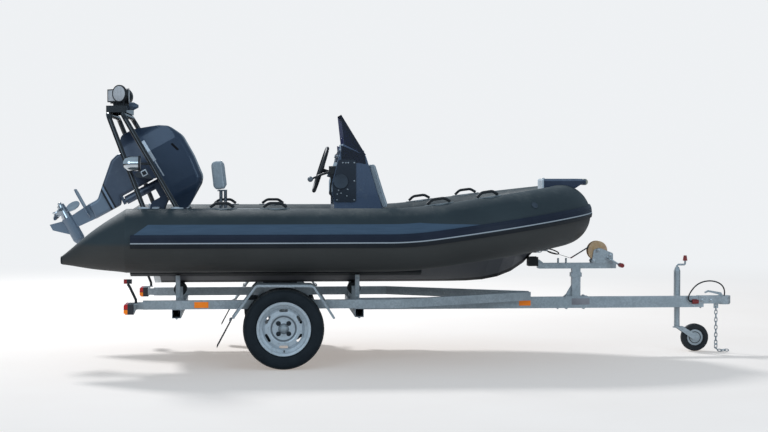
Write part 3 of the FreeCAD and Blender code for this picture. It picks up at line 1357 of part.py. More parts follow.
def make_winch():
    """Side cheeks, tie bars, shaft and crank of the strap winch, and its zinc drum."""
    top = float(S.winch_arm_base + S.winch_arm_height) + float(S.seat_gap)
    x = float(S.drum_x)
    z = float(S.drum_height)
    half = float(S.drum_width) / 2
    frame = []
    for side in (-1, 1):
        y = side * (half + 7) - 2
        corners = [Vec(x - 45, y, top), Vec(x - 30, y, z + 8), Vec(x + 12, y, z + 22),
                   Vec(x + 112, y, z - 18), Vec(x + 112, y, top)]
        frame.append(rounded_face(corners, [4, 18, 14, 14, 4]).extrude(Vec(0, 4, 0)))
    floor = Part.makeBox(157, 2 * half + 14, 4, Vec(x - 45, -half - 7, top))
    tie = Part.makeCylinder(6, 2 * half + 14, Vec(x + 88, -half - 7, z - 34), Vec(0, 1, 0))
    shaft = Part.makeCylinder(9, 2 * half + 30, Vec(x, -half - 15, z), Vec(0, 1, 0))
    gear = Part.makeCylinder(15, 2 * half + 30, Vec(x + 72, -half - 15, top + 34), Vec(0, 1, 0))
    crank = pipe([Vec(x + 72, -half - 12, top + 34), Vec(x + 72, -half - 44, top + 34),
                  Vec(x + 150, -half - 44, top - 12), Vec(x + 150, -half - 70, top - 12)], 7, 10)
    frame = floor.fuse(frame + [tie, shaft, gear, crank]).removeSplitter()
    sub_part("winch_frame", [feature("winch_shape", frame)])
    flange = float(S.drum_flange_radius)
    drum = Part.makeCylinder(32, 2 * half, Vec(x, -half, z), Vec(0, 1, 0))
    for side in (-half, half - 3):
        drum = drum.fuse(Part.makeCylinder(flange, 3, Vec(x, side, z), Vec(0, 1, 0)))
    drum = drum.cut(Part.makeCylinder(9.3, 200, Vec(x, -100, z), Vec(0, 1, 0)))
    sub_part("winch_drum", [feature("drum_shape", drum.removeSplitter())])
    jockey = Vec(float(S.jockey_x) + 60, float(S.jockey_side), 665 + float(S.seat_gap))
    grips = [Part.makeCylinder(16, 70, Vec(x + 150, -half - 70.3, top - 12), Vec(0, -1, 0)),
             Part.makeCone(17, 11, 38, jockey)]
    sub_part("crank_grips", [feature("grip_set", Part.Compound(grips))])


# Jockey wheel

def make_jockey():
    x = float(S.jockey_x)
    y = float(S.jockey_side)
    radius = float(S.jockey_tube_radius)
    outer = Part.makeCylinder(radius, 270, Vec(x, y, 320))
    bore = Part.makeCylinder(radius - 3, 400, Vec(x, y, 300))
    clamp = Part.makeBox(60, 44, 70, Vec(x - 30, 30.3, 335))
    clamp = clamp.cut(Part.makeCylinder(radius - 1, 400, Vec(x, y, 300)))
    cap = Part.makeCone(radius, 14, 30, Vec(x, y, 590))
    crank = pipe([Vec(x, y, 616), Vec(x, y, 636), Vec(x + 60, y, 636), Vec(x + 60, y, 665)], 7, 10)
    shape = outer.cut(bore).fuse([clamp, cap, crank]).removeSplitter()
    sub_part("jockey_tube", [feature("jockey_outer", shape)])
    inner = Part.makeCylinder(radius - 3.06, 225, Vec(x, y, 180))
    sub_part("jockey_leg", [feature("jockey_inner", inner)])
    axle_x = x + float(S.jockey_trail)
    wheel = float(S.jockey_wheel_radius)
    half = float(S.jockey_wheel_width) / 2
    crown = Part.makeCylinder(30, 8, Vec(x, y, 171.7))
    crown = crown.fuse(Part.makeBox(60, 2 * half + 26, 8, Vec(x - 10, y - half - 13, 171.7)))
    ears = []
    for side in (-1, 1):
        ear_y = y + side * (half + 9) - 3
        corners = [Vec(x - 10, ear_y, 175), Vec(x + 50, ear_y, 175), Vec(axle_x + 18, ear_y, wheel + 14),
                   Vec(axle_x + 18, ear_y, wheel - 16), Vec(axle_x - 14, ear_y, wheel - 16)]
        ears.append(Part.Face(Part.makePolygon(corners + corners[:1])).extrude(Vec(0, 6, 0)))
    pin = Part.makeCylinder(6, 2 * half + 24, Vec(axle_x, y - half - 12, wheel), Vec(0, 1, 0))
    sub_part("jockey_fork", [feature("fork_shape", crown.fuse(ears + [pin]).removeSplitter())])
    tread = turned("jockey_wheel_body", "XY_Plane",
                   [(6.05, -half - 3), (18, -half - 3), (18, 8 - half),
                    (S.jockey_wheel_radius - 30, 8 - half),
                    (S.jockey_wheel_radius - 30, -half), (S.jockey_wheel_radius - 6, -half),
                    (S.jockey_wheel_radius, 8 - half), (S.jockey_wheel_radius, half - 8),
                    (S.jockey_wheel_radius - 6, half), (S.jockey_wheel_radius - 30, half),
                    (S.jockey_wheel_radius - 30, half - 8), (18, half - 8), (18, half + 3), (6.05, half + 3)],
                   "V_Axis", (S.jockey_x + S.jockey_trail, S.jockey_side, S.jockey_wheel_radius))
    sub_part("jockey_wheel", [tread])


def make_coupling():
    """Pressed coupling head over the drawbar's nose, with its socket, latch lever and chain lug."""
    x = float(S.ball_x)
    base = float(S.drawbar_base)
    half = float(S.drawbar_width) / 2 + 4
    plan = [Vec(3040, -half, 356), Vec(3040, half, 356), Vec(3165, half, 356), Vec(x - 10, 44, 356),
            Vec(x + 44, 44, 356), Vec(x + 44, -44, 356), Vec(x - 10, -44, 356), Vec(3165, -half, 356)]
    neck = rounded_face(plan, [4, 4, 20, 20, 38, 38, 20, 20]).extrude(Vec(0, 0, 56))
    skirt = Part.makeCylinder(40, 40, Vec(x, 0, 350))
    sleeve = Part.makeBox(50.3, float(S.drawbar_width) + 0.6, 90,
                          Vec(3030, -float(S.drawbar_width) / 2 - 0.3, base - 5))
    socket = Part.makeCylinder(float(S.ball_radius) + 0.5, 46, Vec(x, 0, 340))
    eye = Part.makeBox(34, 6, 40, Vec(3163, -3, 320))
    eye = eye.cut(Part.makeCylinder(5, 20, Vec(3180, -10, 336.7), Vec(0, 1, 0)))
    lever = [Vec(x - 6, -8, 408), Vec(x - 24, -8, 436), Vec(3120, -8, 452), Vec(3096, -8, 440),
             Vec(3096, -8, 430), Vec(3122, -8, 438), Vec(x - 40, -8, 420), Vec(x - 40, -8, 408)]
    lever = Part.Face(Part.makePolygon(lever + lever[:1])).extrude(Vec(0, 16, 0))
    shape = neck.fuse([skirt, eye, lever]).cut(socket).cut(sleeve)
    sub_part("coupling_head", [feature("coupling_shape", shape.removeSplitter())])
    plug = Part.makeCylinder(15, 46, Vec(2990, -48, 372), Vec(1, 0, 0))
    holder = Part.makeBox(30, 12, 34, Vec(2996, -42.3, 355))
    sub_part("light_plug", [feature("plug_shape", plug.fuse(holder).removeSplitter())])


def make_lamps():
    """Rear lamp blocks on their brackets, side reflectors and the marker lamps on rubber stalks."""
    rail_side = float(S.rail_half_spread + S.rail_width / 2) + float(S.seat_gap)
    lamp_x = float(S.rail_aft) - 105
    lamp = Part.makeBox(58, 170, 68, Vec(lamp_x, 690, 376))
    lamp = lamp.fuse(Part.makeBox(10, 154, 54, Vec(lamp_x - 8, 698, 383))).removeSplitter()
    rear_reflector = Part.makeBox(95, 3, 40, Vec(-600, rail_side, 400))
    front_reflector = Part.makeBox(84, 3, 36, vec(1718, S.drawbar_width / 2 + S.seat_gap, 350))
    solids = [lamp, rear_reflector, front_reflector]
    solids += [mirrored(solid) for solid in solids]
    sub_part("trailer_lamps", [feature("lamp_set_rear", Part.Compound(solids))])
    plate_x = lamp_x + 58 + float(S.seat_gap)
    holder = Part.makeBox(90, 8, 50, Vec(plate_x, rail_side, 392))
    holder = holder.fuse([Part.makeBox(6, 200, 50, Vec(plate_x, rail_side, 392)),
                          Part.makeBox(26, 40, 6, Vec(plate_x, rail_side + 160, 442))]).removeSplitter()
    sub_part("lamp_brackets", [feature("bracket_pair", Part.Compound([holder, mirrored(holder)]))])
    base = Vec(plate_x + 13, rail_side + 180, 448 + float(S.seat_gap))
    stalk = pipe([base, base + Vec(0, 0, 24), base + Vec(-38, 30, 112), base + Vec(-50, 34, 132)], 9, 20)
    head = Part.makeCylinder(15, 52, base + Vec(-76, 34, 148), Vec(1, 0, 0))
    marker = stalk.fuse(head).removeSplitter()
    sub_part("marker_lamps", [feature("marker_set", Part.Compound([marker, mirrored(marker)]))])


def make_winch_strap():
    """Webbing wound on the drum, then running to the shackle in the bow eye."""
    drum = vec(S.drum_x, 0, S.drum_height)
    roll = Part.makeCylinder(56, 50, drum - Vec(0, 25, 0), Vec(0, 1, 0))
    roll = roll.cut(Part.makeCylinder(32.3, 60, drum - Vec(0, 30, 0), Vec(0, 1, 0)))
    wire = 4.5
    bow = vec(S.bow_eye_x + S.bow_eye_hole - S.seat_gap - wire, 0, S.bow_eye_height)
    bar = bow + Vec(44, 0, 0)
    points = [Vec(drum.x - 38, 0, drum.z + 38), Vec(2100, 0, 690), bar - Vec(0, 0, 1)]
    shackle = pipe([bar + Vec(2, 14, 0), bow + Vec(0, 14, 0), bow + Vec(0, -14, 0), bar + Vec(2, -14, 0)],
                   wire, 8)
    pin = Part.makeCylinder(wire + 2, 56, bar - Vec(0, 28, 0), Vec(0, 1, 0))
    points += [point + Vec(0, 0, 3) for point in reversed(points)]
    corners = [point - Vec(0, 25, 0) for point in points]
    webbing = Part.Face(Part.makePolygon(corners + corners[:1])).extrude(Vec(0, 50, 0))
    sub_part("winch_strap", [feature("strap_shape", roll.fuse([webbing, shackle, pin]).removeSplitter())])


def chain_link(core, half, wire):
    """A link of four-sided bar round a loop with cut corners, standing along Z."""
    cut = 5.0
    loop = [(-core, 0), (-core, half - cut), (cut - core, half), (core - cut, half), (core, half - cut),
            (core, cut - half), (core - cut, -half), (cut - core, -half), (-core, cut - half), (-core, 0)]
    path = Part.makePolygon([Vec(x, 0, z) for x, z in loop])
    turns = [math.radians(90 * corner) for corner in range(5)]
    ring = Part.makePolygon([Vec(wire * math.cos(turn) - core, wire * math.sin(turn), 0) for turn in turns])
    return path.makePipeShell([ring], True, True, 1)


def make_safety_chain():
    """Short links that hang from the coupling's lug to the ground, each turned a quarter from the last."""
    wire = 3.5
    half = 17.5
    core = 9.5
    pitch = 2 * half - 2 * wire - float(S.seat_gap)
    links = []
    for number in range(10):
        link = chain_link(core, half, wire)
        if number % 2 == 0:
            link.rotate(Vec(0, 0, 0), Vec(0, 0, 1), 90)
        link.translate(Vec(3180, 0, 318 - pitch * number))
        links.append(link)
    sub_part("safety_chain", [feature("chain_shape", Part.Compound(links))])


def check_and_export():
    doc.recompute()
    for item in doc.Objects:
        if "Invalid" in item.State or "Error" in item.State:
            raise RuntimeError(f"{item.Name} is {item.State}")
    os.makedirs("parts", exist_ok=True)
    for label, item in parts.items():
        if item.Shape.isNull() or not item.Shape.isValid():
            raise RuntimeError(label + " has no valid shape")
        item.Shape.exportStep(f"parts/{label}.step")


make_buoyancy_tube()
make_rub_strake()
make_hull()
make_transom()
make_bow_locker_lid()
make_lid_hinges()
make_grab_handles()
make_bow_step()
make_console()
make_windscreen()
make_steering_wheel()
make_throttle_control()
make_console_side_panel()
make_console_cushions()
make_helm_seat()
make_backrest()
make_roll_bar()
make_roll_bar_lamps()
make_spot_lamps()
make_clamp_bracket()
make_swivel_bracket()
make_cowl()
make_leg()
make_gearcase()
make_propeller()
make_side_rails()
make_drawbar()
make_cross_members()
make_axle()
wheel_parts(1, "port")
wheel_parts(-1, "starboard")
make_fenders()
make_mud_flaps()
make_bunks()
make_cradle_posts()
make_winch_post()
make_winch()
make_jockey()
make_coupling()
make_lamps()
make_winch_strap()
make_safety_chain()
check_and_export()
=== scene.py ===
import math

import bmesh
import bpy
from mathutils import Matrix, Vector


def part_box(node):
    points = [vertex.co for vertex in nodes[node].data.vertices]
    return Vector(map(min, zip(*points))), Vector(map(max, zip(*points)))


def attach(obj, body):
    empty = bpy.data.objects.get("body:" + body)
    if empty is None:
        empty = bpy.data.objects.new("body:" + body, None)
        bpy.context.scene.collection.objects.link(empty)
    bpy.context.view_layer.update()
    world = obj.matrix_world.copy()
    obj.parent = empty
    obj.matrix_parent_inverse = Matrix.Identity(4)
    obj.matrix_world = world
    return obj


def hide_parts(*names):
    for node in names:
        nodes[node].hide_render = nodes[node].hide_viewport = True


# An inflatable boat on its road trailer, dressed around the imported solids.
# Metres, +X to the bow and the coupling, +Y to port, +Z up. Places that come from the
# drawing are written as at(x, y, z) in millimetres: x from the wheels' axle, y from the
# middle and z from the floor.

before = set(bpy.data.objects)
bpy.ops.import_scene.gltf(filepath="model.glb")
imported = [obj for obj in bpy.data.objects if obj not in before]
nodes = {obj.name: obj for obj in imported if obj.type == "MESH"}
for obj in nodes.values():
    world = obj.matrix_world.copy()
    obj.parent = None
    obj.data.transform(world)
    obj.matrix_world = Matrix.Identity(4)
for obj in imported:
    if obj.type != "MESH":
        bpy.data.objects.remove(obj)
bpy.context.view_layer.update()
AXLE_X = -0.823
AXLE_HEIGHT = 0.272
WHEEL_OUT = 0.7975
JOCKEY_AXLE = (2.217, 0.100)
TILT_AXIS = Vector((-1.653, 0, 1.130))
ENGINE_TILT = math.radians(61.3)
SIDES = ((-1, "starboard"), (1, "port"))
ROOT = "boat_and_trailer"


def at(x, y, z):
    return Vector((x / 1000 + AXLE_X, y / 1000, z / 1000))


def wheel_centre(side):
    return Vector((AXLE_X, side * WHEEL_OUT, AXLE_HEIGHT))


# Shader maths

class Value:
    """A shader socket that adds, multiplies and compares as a number does."""

    def __init__(self, shade, socket):
        self.shade = shade
        self.socket = socket

    def maths(self, operation, *others):
        return self.shade.node("ShaderNodeMath", {"operation": operation}, [self, *others])

    def __add__(self, other):
        return self.maths("ADD", other)

    __radd__ = __add__

    def __sub__(self, other):
        return self.maths("SUBTRACT", other)

    def __rsub__(self, other):
        return self.shade.node("ShaderNodeMath", {"operation": "SUBTRACT"}, [other, self])

    def __mul__(self, other):
        return self.maths("MULTIPLY", other)

    __rmul__ = __mul__

    def absolute(self):
        return self.maths("ABSOLUTE")

    def above(self, edge, soft=0.0005):
        """0 under the edge and 1 over it, with a soft step between."""
        inputs = {"Value": self, "From Min": edge - soft, "From Max": edge + soft}
        return self.shade.node("ShaderNodeMapRange", {"interpolation_type": "SMOOTHSTEP"}, inputs)

    def below(self, edge, soft=0.0005):
        return 1 - self.above(edge, soft)

    def between(self, low, high, soft=0.0005):
        return self.above(low, soft) * self.below(high, soft)


class Shade:
    """One material, with its principled shader and the ways its nodes are joined."""

    def __init__(self, name, settings=None):
        self.material = bpy.data.materials.new(name)
        self.material.use_nodes = True
        self.tree = self.material.node_tree
        self.shader = next(item for item in self.tree.nodes if item.type == "BSDF_PRINCIPLED")
        for socket, value in (settings or {}).items():
            self.shader.inputs[socket].default_value = value

    def node(self, kind, settings=None, inputs=(), output=0):
        made = self.tree.nodes.new(kind)
        for setting, value in (settings or {}).items():
            setattr(made, setting, value)
        pairs = inputs.items() if isinstance(inputs, dict) else enumerate(inputs)
        for key, value in pairs:
            if isinstance(value, Value):
                self.tree.links.new(value.socket, made.inputs[key])
            else:
                made.inputs[key].default_value = value
        return Value(self, made.outputs[output])

    def place(self):
        return self.node("ShaderNodeTexCoord", output="Object")

    def axes(self):
        """The object's own x, y and z."""
        split = self.tree.nodes.new("ShaderNodeSeparateXYZ")
        self.tree.links.new(self.place().socket, split.inputs[0])
        return [Value(self, split.outputs[letter]) for letter in "XYZ"]

    def stretched(self, scale):
        return self.node("ShaderNodeVectorMath", {"operation": "MULTIPLY"}, [self.place(), scale])

    def noise(self, scale, detail=4.0, rough=0.55, vector=None):
        inputs = {"Vector": vector or self.place(), "Scale": scale, "Detail": detail, "Roughness": rough}
        return self.node("ShaderNodeTexNoise", {}, inputs)

    def cells(self, scale, feature, output=0):
        inputs = {"Vector": self.place(), "Scale": scale}
        return self.node("ShaderNodeTexVoronoi", {"feature": feature}, inputs, output)

    def mix(self, share, first, second):
        return self.node("ShaderNodeMix", {"data_type": "RGBA"}, {0: share, 6: first, 7: second}, output=2)

    def patchy(self, cloud, first, second, soft=0.3):
        """Two tones that give way to each other where a noise passes its middle."""
        return self.mix(cloud.above(0.5, soft), first, second)

    def layered(self, tone, *layers):
        """A tone with colours laid over it in turn, each by its share."""
        for share, colour in layers:
            tone = self.mix(share, tone, colour)
        return tone

    def bump(self, height, distance, normal=None):
        inputs = {"Height": height, "Distance": distance}
        if normal:
            inputs["Normal"] = normal
        return self.node("ShaderNodeBump", {}, inputs)

    def finish(self, **looks):
        names = {"colour": "Base Color", "rough": "Roughness", "metal": "Metallic", "normal": "Normal",
                 "coat": "Coat Weight", "glow": "Emission Color"}
        for look, value in looks.items():
            socket = self.shader.inputs[names[look]]
            if isinstance(value, Value):
                self.tree.links.new(value.socket, socket)
            else:
                socket.default_value = value
        return self.material


def rgb(red, green, blue):
    return (red, green, blue, 1.0)


def shaded(colour, factor):
    return rgb(*(channel * factor for channel in colour[:3]))


def plain(name, colour, rough, metal=0.0, grain=900.0, depth=0.00012, settings=None):
    """A finish with broad colour patches, uneven gloss and a fine surface grain."""
    shade = Shade(name, settings)
    cloud = shade.noise(6.0, 5.0, 0.6)
    speck = shade.noise(grain, 2.0, 0.5)
    tone = shade.patchy(cloud, shaded(colour, 0.75), shaded(colour, 1.25))
    gloss = cloud * 0.16 + speck * 0.08 + (rough - 0.12)
    normal = shade.bump(speck + cloud * 0.3, depth)
    return shade.finish(colour=tone, rough=gloss, metal=metal, normal=normal)


def zoned(name, colour, rough, metal=0.0, zones=(), grain=900.0, depth=0.00012, settings=None):
    """A finish that changes in zones, each a test of place with its colour, roughness and metal."""
    shade = Shade(name, settings)
    axes = shade.axes()
    cloud = shade.noise(6.0, 5.0, 0.6)
    speck = shade.noise(grain, 2.0, 0.5)

    def cloudy(paint):
        return shade.patchy(cloud, shaded(paint, 0.8), shaded(paint, 1.2))

    tone = cloudy(colour)
    gloss = speck * 0.08 + (rough - 0.10)
    shine = metal
    for test, paint, dull, metallic in zones:
        share = test(*axes)
        tone = shade.mix(share, tone, cloudy(paint))
        gloss = gloss + share * (dull - 0.10 - gloss)
        shine = shine + share * (metallic - shine)
    normal = shade.bump(speck + cloud * 0.3, depth)
    # With an emission strength in the settings, the zones' colours are painted on as glow.
    if "Emission Strength" in (settings or {}):
        shade.finish(glow=tone)
    return shade.finish(colour=tone, rough=gloss + cloud * 0.12, metal=shine, normal=normal)


def woven(scale, u, v):
    """Over-and-under threads along two axes."""
    across = (u * scale).maths("SINE").absolute()
    along = (v * scale).maths("SINE").absolute()
    return across.maths("MAXIMUM", along)


def off_centre(u, v, centre_u, centre_v):
    """Distance from an axis that is seen end-on."""
    along = u - centre_u
    high = v - centre_v
    return (along * along + high * high).maths("SQRT")


# Finishes

BLACK = rgb(0.020, 0.020, 0.022)
WHITE = rgb(0.84, 0.86, 0.88)
ZINC = rgb(0.50, 0.52, 0.53)
LENS_RED = rgb(0.42, 0.014, 0.012)


def sheer_height(x, z):
    """Height above the tube's centre line, which bends upwards amidships and then runs on."""
    start, length, curve, slope, centre = 0.700, 0.333, 0.2, 0.1334, 0.858
    ahead = (x - (start + AXLE_X)).maths("MAXIMUM", 0.0)
    bend = ahead.maths("MINIMUM", length)
    return z - centre - bend * bend * curve - (ahead - bend) * slope


def tube_finish():
    """Coated fabric, darker low down, with the painted side band, seams and a fine cloth grain."""
    shade = Shade("tube_coated_fabric", {"Specular IOR Level": 0.32})
    x, y, z = shade.axes()
    height = sheer_height(x, z)
    cloud = shade.noise(2.2, 5.0, 0.6)
    speck = shade.noise(1400.0, 2.0, 0.5)
    low = shade.patchy(cloud, rgb(0.058, 0.053, 0.048), rgb(0.074, 0.068, 0.062))
    top = shade.patchy(cloud, rgb(0.036, 0.048, 0.054), rgb(0.048, 0.062, 0.068))
    nose = (1.618 + AXLE_X) - x
    upper_edge = (nose * 0.16).maths("MINIMUM", 0.113)
    heel = (height - 0.052) * 1.4 + (AXLE_X - 0.981)
    band = height.above(0.044, 0.001) * (upper_edge - height).above(0.0, 0.001)
    band = band * (x - heel).above(0.0, 0.001) * y.absolute().above(0.56, 0.01)
    streak = shade.noise(30.0, 3.0, 0.5, vector=shade.stretched((0.2, 1.0, 3.0)))
    panel = shade.patchy(streak, rgb(0.072, 0.114, 0.168), rgb(0.090, 0.140, 0.204), 0.35)
    dust = shade.noise(9.0, 6.0, 0.7).above(0.56, 0.12) * height.above(0.17, 0.05)
    tone = shade.layered(low, (height.above(-0.02, 0.02), top), (band, panel),
                         (dust * 0.35, rgb(0.20, 0.20, 0.18)))
    seam = sum((x - (spot + AXLE_X)).absolute().below(0.0016, 0.0012) for spot in (-0.640, 0.250, 1.010))
    length_seam = (height + 0.150).absolute().below(0.0014, 0.001)
    cloth = woven(2600.0, x, z + y)
    relief = seam * 0.6 + length_seam * 0.6 + band * 0.5
    normal = shade.bump(relief, 0.0007, normal=shade.bump(speck + cloth * 0.5 + cloud, 0.00016))
    return shade.finish(colour=tone, rough=cloud * 0.14 + speck * 0.1 + 0.40, normal=normal)


def strake_finish():
    """Navy and black rubber rails either side of a pale line."""
    shade = Shade("rub_rail_rubber", {"Specular IOR Level": 0.30})
    x, _, z = shade.axes()
    height = sheer_height(x, z)
    cloud = shade.noise(5.0, 5.0, 0.6)
    line = height.between(-0.0138, -0.0062, 0.0008)
    upper = height.above(-0.010, 0.001)
    navy = shade.patchy(cloud, rgb(0.012, 0.017, 0.034), rgb(0.020, 0.027, 0.048))
    black = shade.patchy(cloud, rgb(0.012, 0.013, 0.017), rgb(0.022, 0.023, 0.027))
    tone = shade.mix(line, shade.mix(upper, black, navy), rgb(0.54, 0.55, 0.57))
    ridge = (height * 520.0).maths("SINE")
    normal = shade.bump(ridge * 0.3 + shade.noise(700.0) * 0.4, 0.0005)
    return shade.finish(colour=tone, rough=cloud * 0.15 + 0.36, normal=normal)


def hull_finish():
    """Dark gelcoat with a thick black keel guard, a waterline haze and a non-slip sole inside."""
    shade = Shade("hull_gelcoat", {"Specular IOR Level": 0.08})
    x, y, z = shade.axes()
    cloud = shade.noise(3.0, 6.0, 0.65)
    streak = shade.noise(26.0, 4.0, 0.6, vector=shade.stretched((0.5, 1.0, 2.4)))
    tone = shade.patchy(cloud, rgb(0.088, 0.085, 0.092), rgb(0.118, 0.114, 0.122))
    keel = y.absolute().below(0.060, 0.001)
    inside = z.above(0.795, 0.001) * y.absolute().below(0.46, 0.01)
    tread_u = ((x + y) * 210.0).maths("SINE")
    tread_v = ((x - y) * 210.0).maths("SINE")
    diamonds = (tread_u * tread_v).above(0.25, 0.2) * inside
    sole = shade.mix(diamonds, rgb(0.42, 0.44, 0.46), rgb(0.36, 0.38, 0.40))
    eye = x.above(1.025) * z.between(0.731, 0.765) * y.absolute().below(0.0055, 0.0002)
    tone = shade.layered(tone, (streak.above(0.62, 0.1) * 0.3, rgb(0.12, 0.115, 0.11)),
                         (keel, rgb(0.006, 0.006, 0.008)), (inside, sole), (eye, rgb(0.62, 0.63, 0.64)))
    normal = shade.bump(diamonds + shade.noise(600.0) * 0.1, 0.0008)
    return shade.finish(colour=tone, rough=cloud * 0.12 + inside * 0.15 + 0.36, metal=eye, normal=normal)


def galvanised_finish():
    """Hot-dip zinc: crystals of grey in several tones, dull with a few bright facets."""
    shade = Shade("hot_dip_zinc", {"Specular IOR Level": 0.6})
    facet = shade.node("ShaderNodeSeparateColor", {}, [shade.cells(95.0, "F1", "Color")])
    cloud = shade.noise(7.0, 6.0, 0.65)
    speck = shade.noise(420.0, 3.0, 0.6)
    pale = shade.patchy(facet, rgb(0.50, 0.52, 0.53), rgb(0.62, 0.64, 0.65), 0.45)
    stain = shade.noise(16.0, 6.0, 0.7).above(0.68, 0.06)
    tone = shade.layered(pale, (cloud.above(0.52, 0.2) * 0.5, rgb(0.40, 0.42, 0.43)),
                         (stain * 0.35, rgb(0.30, 0.25, 0.20)))
    normal = shade.bump(facet * 0.4 + speck, 0.0002)
    rough = facet * 0.16 + cloud * 0.18 + 0.28
    return shade.finish(colour=tone, rough=rough, metal=0.72, normal=normal)


def engine_axes(shade):
    """How far aft and down the raised engine a point lies from its tilt axis, and how far to the side."""
    x, y, z = shade.axes()
    ahead = x - TILT_AXIS.x
    high = z - TILT_AXIS.z
    rise, run = math.sin(ENGINE_TILT), math.cos(ENGINE_TILT)
    return high * rise - ahead * run, ahead * -rise - high * run, y.absolute()


def engine_finish():
    """Deep blue-grey metallic paint under clear lacquer, with a silver stripe and the air intake's slot,
    whose near-black is painted shade.
    """
    settings = {"Coat Weight": 0.3, "Coat Roughness": 0.08, "Specular IOR Level": 0.3}
    shade = Shade("engine_metallic_paint", settings)
    aft, down, side = engine_axes(shade)
    cloud = shade.noise(2.5, 4.0, 0.6)
    flake = shade.noise(2600.0, 1.0, 0.5)
    tone = shade.patchy(cloud, rgb(0.036, 0.056, 0.094), rgb(0.054, 0.078, 0.124))
    level = down + 0.071 - (aft - 0.423) * 0.04
    broad = level.between(-0.0115, 0.0105) * aft.between(0.262, 0.425, 0.001)
    narrow = level.between(-0.0045, 0.0045) * aft.between(0.140, 0.259, 0.001)
    stripe = (broad + narrow) * side.above(0.10, 0.01)
    # The intake slot is a near-black patch with a sunk bump: painted shade inside the opening.
    slant = down + 0.2475 - (aft - 0.282) * 0.3
    slot = slant.absolute().below(0.008) * (aft - 0.282).absolute().below(0.031) * side.above(0.10, 0.01)
    tone = shade.layered(tone, (flake.above(0.58, 0.08) * 0.4, rgb(0.09, 0.12, 0.17)),
                         (stripe, rgb(0.66, 0.68, 0.72)), (slot, rgb(0.006, 0.006, 0.008)))
    normal = shade.bump(slot * -4.0 + stripe * 0.4 + cloud, 0.0006)
    return shade.finish(colour=tone, rough=cloud * 0.1 + slot * 0.4 + 0.26, metal=stripe * 0.3 + 0.20,
                        coat=0.3 - slot * 0.3, normal=normal)


def leg_finish():
    """The lower unit's satin blue-grey paint with pale scuffs, and painted light that makes the lower leg
    paler towards the skeg.
    """
    shade = Shade("leg_satin_paint", {"Coat Weight": 0.35, "Coat Roughness": 0.2})
    aft, down, side = engine_axes(shade)
    cloud = shade.noise(5.0, 5.0, 0.6)
    scuff = shade.noise(40.0, 6.0, 0.7).above(0.66, 0.05)
    tone = shade.patchy(cloud, rgb(0.085, 0.105, 0.150), rgb(0.120, 0.145, 0.195))
    apron = aft.between(0.052, 0.250) * down.between(0.0, 0.096) * side.above(0.10, 0.01)
    collar = down.between(0.324, 0.366)
    tone = shade.layered(tone, (scuff * 0.3, rgb(0.30, 0.32, 0.35)),
                         # The paler tone low on the leg, towards the skeg, is painted light.
                         (down.above(0.366, 0.02), rgb(0.24, 0.29, 0.36)),
                         (down.below(0.110), rgb(0.040, 0.055, 0.092)),
                         (apron, rgb(0.066, 0.070, 0.080)), (collar, rgb(0.014, 0.016, 0.022)),
                         (down.between(0.337, 0.352), rgb(0.30, 0.37, 0.48)))
    normal = shade.bump(shade.noise(500.0) * 0.4 + scuff * 0.3 + collar * 2.0, 0.0002)
    return shade.finish(colour=tone, rough=cloud * 0.16 + 0.28, metal=0.25, normal=normal)


def console_finish():
    """Glossy blue-grey gelcoat with a slight orange-peel ripple."""
    shade = Shade("console_gelcoat", {"Coat Weight": 0.85, "Coat Roughness": 0.06})
    cloud = shade.noise(3.0, 4.0, 0.55)
    ripple = shade.noise(90.0, 2.0, 0.5)
    tone = shade.patchy(cloud, rgb(0.084, 0.116, 0.185), rgb(0.106, 0.142, 0.220), 0.35)
    dust = shade.noise(14.0, 6.0, 0.7).above(0.63, 0.08)
    tone = shade.mix(dust * 0.14, tone, rgb(0.30, 0.31, 0.32))
    return shade.finish(colour=tone, rough=cloud * 0.10 + 0.22, normal=shade.bump(ripple, 0.00035))


def vinyl_finish():
    """Pale marine vinyl with a leather grain and faint soiling."""
    shade = Shade("marine_vinyl", {"Specular IOR Level": 0.4, "Sheen Weight": 0.12})
    grain = shade.cells(420.0, "DISTANCE_TO_EDGE")
    cloud = shade.noise(7.0, 5.0, 0.6)
    tone = shade.patchy(cloud, rgb(0.46, 0.49, 0.52), rgb(0.56, 0.59, 0.61))
    soil = shade.noise(28.0, 6.0, 0.7).above(0.66, 0.06)
    tone = shade.mix(soil * 0.2, tone, rgb(0.36, 0.35, 0.33))
    crease = grain.below(0.09, 0.05)
    normal = shade.bump(crease * -1.0 + cloud * 0.6, 0.00035)
    return shade.finish(colour=tone, rough=crease * 0.12 + cloud * 0.12 + 0.40, normal=normal)


def tyre_finish():
    """Weathered black rubber with fine ribs on the wall and dust in the tread."""
    shade = Shade("tyre_rubber", {"Specular IOR Level": 0.22})
    x, _, z = shade.axes()
    radius = off_centre(x, z, AXLE_X, AXLE_HEIGHT)
    cloud = shade.noise(9.0, 5.0, 0.65)
    speck = shade.noise(900.0, 2.0, 0.5)
    tone = shade.patchy(cloud, rgb(0.014, 0.018, 0.022), rgb(0.025, 0.030, 0.035))
    dust = radius.above(0.262, 0.006) * shade.noise(60.0, 5.0, 0.7).above(0.46, 0.12)
    tone = shade.mix(dust * 0.5, tone, rgb(0.14, 0.13, 0.115))
    ribs = (radius * 1500.0).maths("SINE") * radius.between(0.196, 0.236, 0.002)
    normal = shade.bump(ribs * 0.5 + speck * 0.5, 0.0005)
    return shade.finish(colour=tone, rough=cloud * 0.12 + 0.58, normal=normal)


